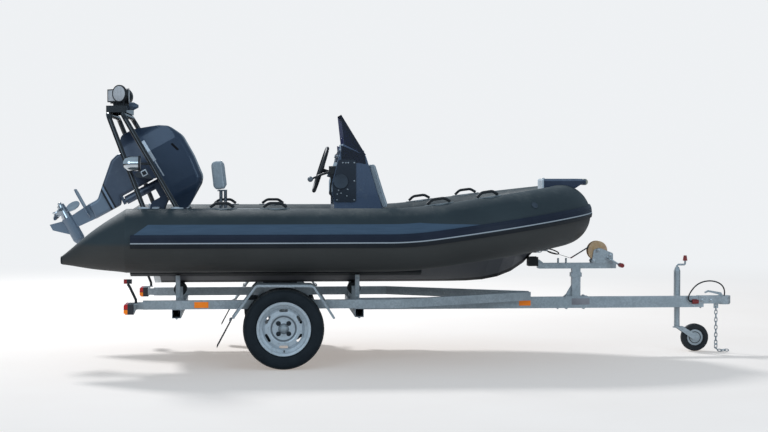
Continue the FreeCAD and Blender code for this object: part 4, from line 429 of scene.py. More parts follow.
def wheel_finish():
    """Silver wheel paint with brake dust, and painted shade in the step ring and round the hub."""
    shade = Shade("wheel_silver_paint", {"Coat Weight": 0.2, "Coat Roughness": 0.3})
    x, _, z = shade.axes()
    radius = off_centre(x, z, AXLE_X, AXLE_HEIGHT)
    cloud = shade.noise(11.0, 5.0, 0.65)
    dust = shade.noise(45.0, 6.0, 0.7).above(0.60, 0.10)
    tone = shade.patchy(cloud, rgb(0.66, 0.68, 0.70), rgb(0.78, 0.80, 0.82))
    # The darker rings at the rim's step and round the hub are painted shade.
    step_and_hub_shade = radius.between(0.0765, 0.0885, 0.002) + radius.between(0.029, 0.036, 0.002)
    tone = shade.layered(tone, (dust * 0.4, rgb(0.27, 0.25, 0.23)), (step_and_hub_shade * 0.75, rgb(0.085, 0.090, 0.10)))
    normal = shade.bump(dust * 0.3 + shade.noise(300.0), 0.0002)
    return shade.finish(colour=tone, rough=cloud * 0.16 + dust * 0.1 + 0.34, metal=0.35, normal=normal)


def zinc_finish():
    """Yellow passivated zinc on the winch drum and small fittings."""
    shade = Shade("yellow_zinc", {})
    cloud = shade.noise(40.0, 5.0, 0.65)
    tone = shade.patchy(cloud, rgb(0.70, 0.42, 0.20), rgb(0.78, 0.54, 0.34), 0.25)
    pink = shade.noise(22.0, 3.0, 0.5).above(0.58, 0.1)
    tone = shade.mix(pink * 0.35, tone, rgb(0.62, 0.36, 0.30))
    normal = shade.bump(shade.noise(500.0), 0.0002)
    return shade.finish(colour=tone, rough=cloud * 0.2 + 0.26, metal=0.9, normal=normal)


def webbing_finish():
    """Woven polyester strap, ribbed across and fuzzy."""
    shade = Shade("winch_webbing", {"Sheen Weight": 0.3, "Specular IOR Level": 0.2})
    x, y, _ = shade.axes()
    cloud = shade.noise(60.0, 4.0, 0.6)
    threads = woven(1500.0, x, y)
    tone = shade.patchy(cloud, rgb(0.045, 0.048, 0.052), rgb(0.085, 0.09, 0.095))
    red_end = x.between(1.262, 1.302, 0.002)
    shackle = (x.below(1.0965) + x.below(1.1070) * y.absolute().above(0.0255)).maths("MINIMUM", 1.0)
    tone = shade.layered(tone, (red_end, rgb(0.30, 0.035, 0.03)), (shackle, rgb(0.60, 0.61, 0.62)))
    return shade.finish(colour=tone, rough=threads * 0.1 - shackle * 0.42 + 0.75, metal=shackle,
                        normal=shade.bump(threads * (1 - shackle), 0.0005))


def screen_finish():
    """Smoked acrylic."""
    shade = Shade("smoked_acrylic", {"Transmission Weight": 0.85, "IOR": 1.49, "Coat Weight": 0.3})
    cloud = shade.noise(5.0, 3.0, 0.5)
    tone = shade.patchy(cloud, rgb(0.030, 0.038, 0.090), rgb(0.044, 0.054, 0.120))
    return shade.finish(colour=tone, rough=cloud * 0.05 + 0.03)


def lens_finish(name, colour, glow=0.0):
    """Moulded lamp lens with fluted prisms and a faint inner glow of its colour."""
    shade = Shade(name, {"Coat Weight": 0.6, "Coat Roughness": 0.05, "Emission Strength": glow})
    x, y, z = shade.axes()
    flutes = ((x + y) * 900.0).maths("SINE") + (z * 900.0).maths("SINE")
    cloud = shade.noise(60.0, 3.0, 0.5)
    tone = shade.mix((flutes * 0.25 + 0.5) * 0.5 + cloud * 0.3, shaded(colour, 0.7), colour)
    return shade.finish(colour=tone, glow=tone, rough=cloud * 0.1 + 0.12, normal=shade.bump(flutes, 0.0004))


def trailer_lamp_finish():
    """Rear lamps with a dark housing behind red and orange lenses, and the orange side reflectors, all with
    a painted glow of their own colours.
    """
    amber = rgb(0.82, 0.19, 0.004)
    zones = ((lambda x, y, z: x.below(-1.75), rgb(0.020, 0.020, 0.024), 0.36, 0.0),
             (lambda x, y, z: x.below(-1.855) * z.above(0.412), LENS_RED, 0.16, 0.0),
             (lambda x, y, z: x.below(-1.855) * z.below(0.408), amber, 0.16, 0.0))
    return zoned("trailer_lamp_plastics", amber, 0.22, zones=zones, grain=420.0, depth=0.0003,
                 # The emission strength gives lenses and reflectors a painted glow.
                 settings={"Coat Weight": 0.15, "Coat Roughness": 0.08, "Emission Strength": 0.35})


def chrome_finish(name="polished_steel", low=rgb(0.56, 0.60, 0.65), high=rgb(0.70, 0.73, 0.76)):
    """Polished metal, smeared and finely scratched."""
    shade = Shade(name, {})
    smear = shade.noise(14.0, 5.0, 0.6)
    scratch = shade.noise(300.0, 2.0, 0.5, vector=shade.stretched((1.0, 1.0, 0.12)))
    tone = shade.patchy(smear, low, high)
    return shade.finish(colour=tone, rough=smear * 0.10 + scratch * 0.05 + 0.04, metal=1.0,
                        normal=shade.bump(scratch, 0.00004))


zinc = galvanised_finish()
tube_cloth = tube_finish()
black_moulding = plain("black_moulding", rgb(0.022, 0.022, 0.025), 0.52)
black_rubber = plain("black_rubber", rgb(0.018, 0.018, 0.018), 0.66, grain=700.0, depth=0.0002)
engine_paint = engine_finish()
leg_paint = leg_finish()
console_gel = console_finish()
vinyl = vinyl_finish()
chrome = chrome_finish()
red_moulding = plain("red_moulding", rgb(0.34, 0.030, 0.026), 0.42)
clear_lens = lens_finish("clear_lens", rgb(0.70, 0.70, 0.72), 0.16)
pale_trim = plain("pale_gelcoat", rgb(0.72, 0.74, 0.76), 0.30, settings={"Coat Weight": 0.5})
beige = plain("beige_roller_plastic", rgb(0.58, 0.52, 0.40), 0.50)
steel_bolt = plain("bright_zinc_bolt", rgb(0.56, 0.57, 0.58), 0.34, metal=0.85, grain=500.0)
# The wheel bolts are made near-black as painted shade of their holes round the hub.
shade_dark_bolt = plain("shade_dark_bolt", rgb(0.026, 0.030, 0.036), 0.50, metal=0.3, grain=500.0)
grey_plastic = plain("grey_plastic", rgb(0.26, 0.28, 0.30), 0.42)
dark_chrome = chrome_finish("smoked_steel", rgb(0.30, 0.32, 0.35), rgb(0.42, 0.44, 0.47))
grip_rubber = zoned("grip_rubber", BLACK, 0.60,
                    zones=((lambda x, y, z: sheer_height(x, z).below(0.2215, 0.0008),
                            rgb(0.20, 0.22, 0.23), 0.46, 0.0),))
panel_moulding = plain("hatch_moulding", rgb(0.026, 0.034, 0.050), 0.48)
disc_moulding = plain("hatch_disc_moulding", rgb(0.064, 0.080, 0.104), 0.44)
smoked = screen_finish()
blank_plate = plain("blank_plate", rgb(0.42, 0.37, 0.38), 0.46)
step_gel = zoned("bow_step_gelcoat", rgb(0.036, 0.050, 0.090), 0.30,
                 zones=((lambda x, y, z: x.below(1.062, 0.001), WHITE, 0.34, 0.0),
                        # The paler band on the step's top face is a painted highlight.
                        (lambda x, y, z: z.above(1.2535, 0.001) * x.above(1.062),
                         rgb(0.16, 0.19, 0.26), 0.30, 0.0)),
                 settings={"Coat Weight": 0.4, "Coat Roughness": 0.08})
bar_lacquer = zoned("bar_lacquer", rgb(0.016, 0.017, 0.020), 0.24,
                    zones=((lambda x, y, z: z.below(1.083), WHITE, 0.40, 0.0),), grain=300.0, depth=0.00005,
                    settings={"Coat Weight": 0.35, "Coat Roughness": 0.08})
lamp_black = zoned("lamp_and_horn_black", BLACK, 0.50,
                   zones=((lambda x, y, z: x.above(-1.8945) * z.below(1.8115) * y.between(-0.125, -0.055),
                           rgb(0.10, 0.125, 0.17), 0.26, 0.2),))
spot_chrome = zoned("spot_lamp_chrome", rgb(0.76, 0.78, 0.80), 0.12, metal=1.0,
                    zones=((lambda x, y, z: x.above(-1.7965), BLACK, 0.50, 0.0),), grain=200.0,
                    depth=0.00003)
jockey_rubber = zoned("jockey_wheel_rubber", BLACK, 0.64,
                      zones=((lambda x, y, z: off_centre(x, z, *JOCKEY_AXLE).below(0.058),
                              ZINC, 0.40, 0.7),
                             (lambda x, y, z: off_centre(x, z, *JOCKEY_AXLE).between(0.038, 0.044),
                              BLACK, 0.5, 0.0)))
marker_rubber = zoned("marker_rubber", BLACK, 0.58,
                      zones=((lambda x, y, z: x.below(-1.858) * z.above(0.575),
                              LENS_RED, 0.18, 0.0),))
control_black = zoned("control_black", BLACK, 0.46,
                      zones=((lambda x, y, z: x.below(-0.603), rgb(0.22, 0.23, 0.25), 0.40, 0.0),))

NODE_FINISHES = (
    (zinc, ("axle_beam", "coupling_head", "cradle_posts", "cross_members", "drawbar", "fenders",
            "jockey_fork", "jockey_leg", "jockey_tube", "lamp_brackets", "port_hub", "starboard_hub",
            "safety_chain", "side_rails", "winch_frame", "winch_post")),
    (tube_cloth, ("buoyancy_tube",)),
    (strake_finish(), ("rub_strake",)),
    (hull_finish(), ("hull",)),
    (black_rubber, ("bow_block", "bunks", "keel_rollers", "mud_flaps", "tube_end_caps")),
    (grip_rubber, ("grab_handles",)),
    (jockey_rubber, ("jockey_wheel",)),
    (black_moulding, ("steering_wheel",)),
    (panel_moulding, ("console_side_panel",)),
    (control_black, ("throttle_control",)),
    (lamp_black, ("roll_bar_lamps",)),
    (bar_lacquer, ("roll_bar",)),
    (step_gel, ("bow_step",)),
    (console_gel, ("bow_locker_lid", "console", "seat_base")),
    (engine_paint, ("cowl",)),
    (leg_paint, ("clamp_bracket", "gearcase", "leg_housing", "swivel_bracket")),
    (vinyl, ("backrest", "console_cushions", "seat_lid")),
    (chrome, ("propeller", "lid_hinges")),
    (dark_chrome, ("backrest_frame",)),
    (spot_chrome, ("spot_lamps",)),
    (tyre_finish(), ("port_tyre", "starboard_tyre")),
    (wheel_finish(), ("port_rim", "starboard_rim")),
    (zinc_finish(), ("winch_drum",)),
    (webbing_finish(), ("winch_strap",)),
    (smoked, ("windscreen",)),
    (red_moulding, ("crank_grips", "light_plug")),
    (marker_rubber, ("marker_lamps",)),
    (trailer_lamp_finish(), ("trailer_lamps",)),
    (beige, ("bow_roller",)),
    (pale_trim, ("transom",)),
)
for material, names in NODE_FINISHES:
    for name in names:
        if name not in nodes:
            continue
        if not nodes[name].material_slots:
            nodes[name].data.materials.append(material)
        for material_slot in nodes[name].material_slots:
            material_slot.material = material


# Modelling by hand

def primitive(kind, name, **settings):
    """Adds a primitive, the only thing then selected."""
    bpy.ops.object.select_all(action="DESELECT")
    getattr(bpy.ops.mesh, f"primitive_{kind}_add")(**settings)
    piece = bpy.context.object
    piece.name = name
    piece.data.name = name
    return piece


class Editing:
    """Edit mode on one piece, with its faces picked by a test."""

    def __init__(self, piece):
        self.piece = piece

    def __enter__(self):
        chosen(self.piece)
        bpy.ops.object.mode_set(mode="EDIT")
        return self

    def __exit__(self, *problem):
        bpy.ops.object.mode_set(mode="OBJECT")

    def everything(self):
        bpy.ops.mesh.select_mode(type="VERT")
        bpy.ops.mesh.select_all(action="SELECT")

    def faces(self, test):
        bpy.ops.mesh.select_mode(type="FACE")
        bpy.ops.mesh.select_all(action="DESELECT")
        mesh = bmesh.from_edit_mesh(self.piece.data)
        for face in mesh.faces:
            face.select_set(bool(test(face.calc_center_median(), face.normal)))
        bmesh.update_edit_mesh(self.piece.data)


def is_top(middle, normal):
    return normal.z > 0.9


def settle(piece):
    """Takes the object's own place and turn into its mesh."""
    bpy.context.view_layer.update()
    piece.data.transform(piece.matrix_world)
    piece.matrix_world = Matrix.Identity(4)
    return piece


def chosen(piece):
    bpy.ops.object.select_all(action="DESELECT")
    piece.select_set(True)
    bpy.context.view_layer.objects.active = piece
    return piece


def applied(piece, kind, **settings):
    """Adds one modifier and applies it."""
    chosen(piece)
    modifier = piece.modifiers.new(kind.lower(), kind)
    for setting, value in settings.items():
        setattr(modifier, setting, value)
    bpy.ops.object.modifier_apply(modifier=modifier.name)
    return piece


def tidy_mesh(piece):
    """Merges doubles and turns the faces outwards."""
    with Editing(piece) as edit:
        edit.everything()
        bpy.ops.mesh.remove_doubles(threshold=0.00002)
        bpy.ops.mesh.normals_make_consistent(inside=False)
    return piece


def dressed(piece, material, body=ROOT, smooth=32.0, replaced=()):
    """Gives a finished piece its material, smooth shading and the body that it moves with."""
    piece.data.materials.clear()
    piece.data.materials.append(material)
    chosen(piece)
    bpy.ops.object.shade_smooth_by_angle(angle=math.radians(smooth))
    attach(piece, body)
    if replaced:
        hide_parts(*replaced)
    return piece


def rounded_block(name, size, centre=(0, 0, 0), bevel=0.003, segments=3):
    """A block with bevelled edges."""
    piece = settle(primitive("cube", name, size=1.0))
    piece.data.transform(Matrix.Diagonal((*size, 1.0)))
    with Editing(piece) as edit:
        edit.everything()
        bpy.ops.mesh.bevel(offset=bevel, segments=segments, profile=0.5, affect="EDGES")
    piece.data.transform(Matrix.Translation(Vector(centre)))
    return piece


def drawn(name, outline):
    """A run of edges through these points, drawn corner by corner."""
    piece = primitive("plane", name, size=0.01)
    with Editing(piece) as edit:
        edit.everything()
        bpy.ops.mesh.merge(type="CENTER")
        bpy.ops.transform.translate(value=outline[0])
        for start, end in zip(outline, outline[1:]):
            step = Vector(end) - Vector(start)
            bpy.ops.mesh.extrude_region_move(TRANSFORM_OT_translate={"value": step})
    return piece


def spun(name, outline, centre, axis, steps):
    """A profile drawn in its place and spun once round an axis."""
    piece = drawn(name, outline)
    with Editing(piece) as edit:
        edit.everything()
        bpy.ops.mesh.spin(steps=steps, angle=math.tau, center=centre, axis=axis)
    return tidy_mesh(piece)


def pushed(name, outline, depth):
    """A flat outline drawn corner by corner, filled and extruded by a vector."""
    piece = drawn(name, list(outline) + [outline[0]])
    with Editing(piece) as edit:
        edit.everything()
        bpy.ops.mesh.remove_doubles(threshold=0.00001)
        bpy.ops.mesh.edge_face_add()
        bpy.ops.mesh.extrude_region_move(TRANSFORM_OT_translate={"value": depth})
    return tidy_mesh(piece)


def bar_curve(name, points, radius, smooth_line=True, resolution=6, closed=False, sides=4):
    """A round bar along points, as a curve."""
    curve = bpy.data.curves.new(name, "CURVE")
    curve.dimensions = "3D"
    curve.bevel_depth = radius
    curve.bevel_resolution = sides
    curve.resolution_u = resolution
    curve.use_fill_caps = True
    spline = curve.splines.new("NURBS" if smooth_line else "POLY")
    spline.points.add(len(points) - 1)
    for point, place in zip(spline.points, points):
        point.co = (*place, 1.0)
    spline.use_cyclic_u = closed
    if smooth_line:
        spline.order_u = 3
        spline.use_endpoint_u = not closed
    piece = bpy.data.objects.new(name, curve)
    bpy.context.scene.collection.objects.link(piece)
    return piece


def tube_piece(*line, **settings):
    """A round bar along points, as a mesh."""
    chosen(bar_curve(*line, **settings))
    bpy.ops.object.convert(target="MESH")
    return bpy.context.object


def joined(name, pieces):
    bpy.ops.object.select_all(action="DESELECT")
    for piece in pieces:
        piece.select_set(True)
    bpy.context.view_layer.objects.active = pieces[0]
    if len(pieces) > 1:
        bpy.ops.object.join()
    whole = bpy.context.object
    whole.name = name
    whole.data.name = name
    return whole


def strewn(name, master, spots):
    """Copies of a master at each (place, way that its +Z faces, turn in degrees), joined in one piece."""
    copies = []
    for place, facing, turn in spots:
        copy = master.copy()
        copy.data = master.data.copy()
        bpy.context.scene.collection.objects.link(copy)
        aim = Vector(facing).to_track_quat("Z", "Y").to_matrix().to_4x4()
        spin = Matrix.Rotation(math.radians(turn), 4, "Z")
        copy.data.transform(Matrix.Translation(Vector(place)) @ aim @ spin)
        copies.append(copy)
    bpy.data.objects.remove(master)
    return joined(name, copies)


def fitted(name, master, spots, material, body=ROOT, replaced=()):
    """Copies of a master in their places, dressed as one piece."""
    return dressed(strewn(name, master, spots), material, body, replaced=replaced)


def bolt_head(across, depth, washer):
    """A hexagon head on its washer, facing +Z from z = 0."""
    parts = []
    for name, corners, radius, thick, foot, lip, dish in (
            ("bolt_head", 6, across * 0.577, depth, washer, across * 0.08, across * 0.05),
            ("washer", 20, across * 0.85, washer, 0.0, across * 0.06, across * 0.02)):
        part = settle(primitive("cylinder", name, vertices=corners, radius=radius, depth=thick,
                                location=(0, 0, foot + thick / 2)))
        with Editing(part) as edit:
            edit.faces(is_top)
            bpy.ops.mesh.inset(thickness=lip, depth=dish)
        parts.append(part)
    return joined("bolt", parts)


# Cushions

def cushion(name, size, pinned, cap=0.010, voxel=0.006, seams=(), pressure=4.0):
    """A stuffed pad about the origin, this large when full, flat on the side that pinned tests true."""
    shrink = 0.012
    frames = 20
    start = [extent - shrink for extent in size]
    piece = rounded_block(name, start, bevel=min(start) * 0.26, segments=5)
    applied(piece, "REMESH", mode="VOXEL", voxel_size=voxel)
    rest = [corner.co.copy() for corner in piece.data.vertices]
    group = piece.vertex_groups.new(name="held")
    held = [corner.index for corner in piece.data.vertices if pinned(corner.co)]
    group.add(held, 1.0, "REPLACE")
    cloth = piece.modifiers.new("stuffing", "CLOTH")
    cloth.settings.use_pressure = True
    cloth.settings.uniform_pressure_force = pressure
    cloth.settings.vertex_group_mass = "held"
    cloth.settings.effector_weights.gravity = 0.0
    cloth.point_cache.frame_start = 1
    cloth.point_cache.frame_end = frames
    for step in range(1, frames + 1):
        bpy.context.scene.frame_set(step)
    chosen(piece)
    bpy.ops.object.modifier_apply(modifier=cloth.name)
    bpy.context.scene.frame_set(1)
    for corner, before in zip(piece.data.vertices, rest):
        move = corner.co - before
        if move.length > cap:
            corner.co = before + move.normalized() * cap
    piece.vertex_groups.clear()
    for axis, spot, reach, depth in seams:
        for corner in piece.data.vertices:
            away = abs(corner.co[axis] - spot)
            if away < reach * 3:
                inward = Vector([0.0 if i == axis else -value for i, value in enumerate(corner.co)])
                corner.co += inward.normalized() * depth * math.exp(-(away / reach) ** 2)
    applied(piece, "SUBSURF", levels=1, render_levels=1)
    return piece


def piping(name, target, axis, spot, radius=0.0032, count=96):
    """A welt that runs round a pad where a seam plane crosses it."""
    across = [i for i in range(3) if i != axis]
    middle = Vector((0, 0, 0))
    middle[axis] = spot
    spots = []
    for step in range(count):
        angle = math.tau * step / count
        far = middle.copy()
        far[across[0]] = math.cos(angle)
        far[across[1]] = math.sin(angle)
        hit, place, normal, _ = target.ray_cast(far, (middle - far).normalized())
        if hit:
            spots.append(place + normal * radius * 0.2)
    return tube_piece(name, spots, radius, closed=True, resolution=2, sides=2)


def upholstered(pad, welt, place, replaced, body=ROOT):
    """Puts a pad and its welt in their place, in vinyl."""
    for piece in (pad, welt):
        piece.data.transform(place)
    dressed(pad, vinyl, body, 60, [replaced])
    dressed(welt, pale_trim, body, 60)


def make_seat():
    low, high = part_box("seat_lid")
    size = high - low
    pad = cushion("seat_pad", size, lambda place: place.z < -size.z * 0.36,
                  seams=((2, 0.004, 0.004, 0.0025), (0, -0.09, 0.0045, 0.003), (0, 0.07, 0.0045, 0.003)))
    welt = piping("seat_pad_welt", pad, 2, size.z * 0.22)
    upholstered(pad, welt, Matrix.Translation((low + high) / 2), "seat_lid", "seat_lid_body")


def make_backrest():
    size = Vector((0.084, 0.500, 0.216))
    pad = cushion("backrest_pad", size, lambda spot: spot.z < -size.z * 0.46, cap=0.008, voxel=0.0055,
                  seams=((0, 0.012, 0.004, 0.0025), (0, -0.022, 0.004, 0.002)))
    welt = piping("backrest_welt", pad, 0, 0.026)
    lean = Matrix.Rotation(math.radians(-6.4), 4, "Y")
    place = Matrix.Translation(at(-432, 0, 1192)) @ lean @ Matrix.Translation((0, 0, size.z / 2))
    upholstered(pad, welt, place, "backrest")


def make_console_pads():
    """The step's pad and the raked front pad, both on the console."""
    flat = Vector((0.180, 0.440, 0.050))
    step_pad = cushion("step_pad", flat, lambda spot: spot.z < -flat.z * 0.36, cap=0.007, voxel=0.0055,
                       seams=((0, 0.0, 0.0045, 0.0025),), pressure=3.0)
    step_welt = piping("step_pad_welt", step_pad, 2, 0.012)
    raked = Vector((0.050, 0.380, 0.3334))
    front_pad = cushion("front_pad", raked, lambda spot: spot.x < -raked.x * 0.36, cap=0.007, voxel=0.0055,
                        seams=((2, -0.052, 0.0045, 0.003), (2, 0.058, 0.0045, 0.003)), pressure=3.0)
    front_welt = piping("front_pad_welt", front_pad, 0, 0.012)
    lean = Matrix.Translation(at(683.7, 0, 1218.5)) @ Matrix.Rotation(math.radians(-17.39), 4, "Y")
    upholstered(step_pad, step_welt, Matrix.Translation(at(895, 0, 990.6)), "console_cushions")
    upholstered(front_pad, front_welt, lean, "console_cushions")


# Tyres

def make_tyre(side, prefix):
    """A road tyre spun from its section, with four grooves and tread blocks cut across them."""
    middle = wheel_centre(side)
    half = 0.0825
    bead, flange, outer = 0.1653, 0.1845, AXLE_HEIGHT
    wall = [(0.0577, bead), (0.0627, bead + 0.0045), (0.0627, flange), (0.0725, flange + 0.006),
            (0.0785, flange + 0.017), (0.0822, flange + 0.030), (0.0826, flange + 0.041), (0.0805, 0.2400),
            (0.0770, 0.2500), (0.0735, 0.2530), (0.0700, 0.2600), (0.0645, 0.2660)]
    grooves = [-0.045, -0.015, 0.015, 0.045]
    edge = [(0.0560, 0.2695)]
    tread = []
    for groove in reversed(grooves):
        crown = outer - (groove / half) ** 2 * 0.0022
        floor = crown - 0.0065
        tread += [(groove + 0.0042, crown), (groove + 0.0030, floor), (groove - 0.0030, floor),
                  (groove - 0.0042, crown)]
    mirrored = [(-across, radius) for across, radius in reversed(wall + edge)]
    section = wall + edge + tread + mirrored + wall[:1]
    outline = [middle + Vector((0, across, radius)) for across, radius in section]
    steps = 168
    tyre = spun(prefix + "_road_tyre", outline, middle, (0, 1, 0), steps)

    def found(place):
        """Where a face lies: across the wheel, out from its axis, and in which of the steps."""
        away = place - middle
        angle = math.degrees(math.atan2(away.z, away.x)) % 360.0
        return away.y, math.hypot(away.x, away.z), round(angle / (360.0 / steps) - 0.5)

    def is_sipe(place, normal):
        across, radius, step = found(place)
        if radius < 0.2672 or any(abs(across - groove) < 0.0038 for groove in grooves):
            return False
        row = sum(abs(across) <= groove for groove in grooves[2:])
        return (step + row * (1 if across > 0 else 2)) % 4 == 0

    def is_shoulder(place, normal):
        across, radius, step = found(place)
        return 0.262 < radius < 0.2682 and abs(across) > 0.057 and step % 4 == 2

    for test, depth in ((is_sipe, -0.0048), (is_shoulder, -0.0030)):
        with Editing(tyre) as edit:
            edit.faces(test)
            bpy.ops.mesh.extrude_region_shrink_fatten(TRANSFORM_OT_shrink_fatten={"value": depth})
    dressed(tyre, nodes[prefix + "_tyre"].material_slots[0].material, prefix + "_wheel", 28,
            [prefix + "_tyre"])


# Fastenings and small fittings

OUT = (0, 1, 0)
DOWN = (0, 0, -1)


def bolted(name, spots, across=0.013, body=ROOT, material=steel_bolt):
    """Hexagon heads with washers at these places, each facing its own way."""
    heads = strewn(name, bolt_head(across, across * 0.48, across * 0.13), [(*spot, 15.0) for spot in spots])
    return dressed(heads, material, body, 28)


def both_sides(spots):
    """The same spots on port and starboard."""
    return [(Vector((place[0], side * place[1], place[2])), (facing[0], side * facing[1], facing[2]))
            for place, facing in spots for side in (-1, 1)]


def make_trailer_bolts():
    spots = []
    for y in (742, 868):
        spots += [(at(-272.2, y, 452.2), (-0.812, 0, 0.584)), (at(276.4, y, 450.2), (0.84, 0, 0.543))]
    for x in (-162, -138, 138, 162):
        spots.append((at(x, 646.4, 424), OUT))
    for y in (742, 802, 862):
        spots.append((at(-353.5, y, 333.4), (-0.88, 0, 0.475)))
    for x in (-720, 520):
        spots += [(at(x, 620, 329.6), DOWN), (at(x, 415.2, 452), OUT),
                  (at(x, 415.2, 572), OUT)]
    bolted("frame_bolts", both_sides(spots))
    bolted("roller_pins", both_sides([(at(x, 65.4, 484), OUT) for x in (-720, 520)]), 0.020)
    spots = [(at(x, y, z), (0, 0, up)) for x in (2068, 2194) for y in (-18, 18)
             for z, up in ((416.4, 1), (329.9, -1))]
    spots += [(at(2006, 0, 329.9), DOWN), (at(3064, 0, 329.9), DOWN)]
    bolted("drawbar_bolts", spots)
    spots = [(at(x, 34.2, 378), OUT) for x in (3066, 3132)]
    spots += [(at(*place), OUT) for place in ((2258, 40.2, 672), (2395, 40.2, 672),
                                                    (2381, 40.2, 712), (2293, 46.2, 746))]
    bolted("winch_and_coupling_bolts", both_sides(spots), 0.015)
    holes = ((1027.5, 459.0, 413.7), (1118.8, 402.4, 417.5), (1213.5, 343.6, 418.4))
    bolted("rail_bolts", both_sides([(at(*hole), (-0.527, -0.850, 0)) for hole in holes]), 0.011)


def make_axle_clamps():
    """U-bolts that hold the axle beam up to each rail, over a plate with its nuts."""
    hoops = []
    nuts = []
    plates = []
    for side in (-1, 1):
        for x in (104, 196):
            loop = [(593, 306), (593, 446), (599, 455.5), (641, 455.5), (647, 446), (647, 306)]
            hoops.append(tube_piece("u_bolt", [at(x, side * y, z) for y, z in loop], 0.005, False))
            nuts += [(at(x, side * y, 313.6), DOWN) for y in (593, 647)]
        middle = at(150, side * 620, 316.6)
        plates.append(rounded_block("axle_plate", (0.124, 0.082, 0.006), middle, 0.0015, 2))
    dressed(joined("axle_u_bolts", hoops), steel_bolt)
    dressed(joined("axle_clamp_plates", plates), zinc)
    bolted("axle_nuts", nuts, 0.015)


def make_wheel_fittings(side, prefix):
    """Four wheel bolts round the hub's dome, and the tyre valve."""
    middle = wheel_centre(side)
    pitch_radius = 0.049
    spots = []
    for degrees in (45, 135, 225, 315):
        angle = math.radians(degrees)
        out = Vector((pitch_radius * math.cos(angle), side * 0.0152, pitch_radius * math.sin(angle)))
        spots.append((middle + out, (0, side, 0)))
    # The bolts' near-black stands for the shade in their holes: painted shade.
    bolted(prefix + "_wheel_bolts", spots, 0.019, prefix + "_wheel", shade_dark_bolt)
    stem = [middle + Vector((0.003, side * across, -radius)) for across, radius in
            ((0.034, 0.156), (0.044, 0.1525), (0.054, 0.148), (0.064, 0.144))]
    dressed(tube_piece(prefix + "_valve", stem, 0.0042), black_rubber, prefix + "_wheel")


def round_disc(name, radius, depth, rim, sunk, segments=40):
    """A disc facing +Z with a raised rim, its middle sunk."""
    disc = settle(primitive("cylinder", name, vertices=segments, radius=radius, depth=depth,
                            location=(0, 0, depth / 2)))
    with Editing(disc) as edit:
        edit.faces(is_top)
        bpy.ops.mesh.inset(thickness=rim, depth=0.0)
        bpy.ops.mesh.inset(thickness=rim * 0.2, depth=-sunk)
    applied(disc, "BEVEL", width=depth * 0.12, segments=2, limit_method="ANGLE")
    return disc


def make_lamp_lenses():
    """Fluted lenses in the work lamps' bezels and the spot lamps' mouths."""
    lenses = []
    for x, y, heading, round_lamp, size in ((-1120, -270, -125, True, 60), (-1178, -150, -140, False, 50),
                                            (-1095, 40, 0, True, 56), (-1178, 150, 140, False, 50),
                                            (-1120, 270, 125, True, 60)):
        turn = math.radians(heading)
        facing = Vector((math.cos(turn), math.sin(turn), 0))
        place = at(x, y, 1777.3 + size + 26) + facing * 0.0093
        if round_lamp:
            lens = round_disc("lens", (size - 7.3) / 1000, 0.004, 0.004, -0.0012)
        else:
            lens = rounded_block("lens", ((2 * size - 14.6) / 1000, (1.8 * size - 14.6) / 1000, 0.004),
                                 (0, 0, 0.002), 0.001, 2)
        lenses.append(strewn("lens", lens, [(place, facing, 0.0)]))
    dressed(joined("work_lamp_lenses", lenses), clear_lens)
    spots = [(at(-967.0, y, 1376), (1, 0, 0), 0.0) for y in (-594, 594)]
    fitted("spot_lamp_lenses", round_disc("lens", 0.0456, 0.005, 0.004, -0.0015), spots, clear_lens)


def make_bow_light():
    """The small domed light on the bow step."""
    base = at(1898, 0, 1256.3)
    outline = [base + Vector(spot) for spot in ((0.0135, 0, 0), (0.0135, 0, 0.007), (0.0125, 0, 0.014),
                                                (0.0075, 0, 0.0185), (0, 0, 0.0195))]
    dressed(spun("bow_light", outline, base, (0, 0, 1), 32), clear_lens)


def make_tube_valves():
    """The round air valves high on the tube's shoulders."""
    valve = round_disc("valve", 0.024, 0.006, 0.0035, 0.003)
    spots = both_sides([(at(1722.6, 651.0, 1088.9), (0.348, 0.727, 0.592))])
    fitted("tube_valves", valve, [(*spot, 0.0) for spot in spots], disc_moulding)


def chain_ring():
    """One welded link, standing along Z."""
    line = [(9.5, 9), (9.5, -9), (5, -17.5), (-5, -17.5), (-9.5, -9), (-9.5, 9), (-5, 17.5), (5, 17.5)]
    return tube_piece("link", [Vector((x / 1000, 0, z / 1000)) for x, z in line], 0.0035, closed=True,
                      resolution=4, sides=3)


def make_chain():
    """The links that hang from the coupling, and the last few on the ground."""
    hanging = [(at(3180, 0, 318 - 27.7 * number), (0, 0, 1), 90.0 * ((number + 1) % 2))
               for number in range(10)]
    fitted("chain_links", chain_ring(), hanging, steel_bolt, replaced=["safety_chain"])
    fallen = [(at(3180.5, 0, 41.5), (0.05, 0, 1), 90.0), (at(3188, 0, 18.5), (0.62, 0, -0.78), 10.0),
              (at(3209.5, 0.5, 9.8), (0.99, 0.02, -0.10), 45.0), (at(3236, 2, 9.6), (0.99, 0.10, 0), -45.0),
              (at(3262, 6, 9.6), (0.98, 0.2, 0), 45.0)]
    fitted("chain_tail", chain_ring(), fallen, steel_bolt)


def make_plate():
    """The blank plate on the drawbar's side."""
    plate = rounded_block("drawbar_plate", (0.132, 0.0015, 0.046), at(2169, -30.9, 377), 0.0006, 2)
    dressed(plate, blank_plate)


def make_breakaway_cable():
    """The black lead that arches from the lights' plug over to the coupling."""
    points = [at(*spot) for spot in (
        (2990, -48, 372), (2962, -48, 374), (2962, -47, 424), (3030, -40, 506),
        (3130, -32, 528), (3216, -24, 500), (3244, -18, 440), (3236, -16, 413))]
    cable = bar_curve("breakaway_cable", points, 0.005, resolution=10)
    cable.data.materials.append(black_rubber)
    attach(cable, ROOT)


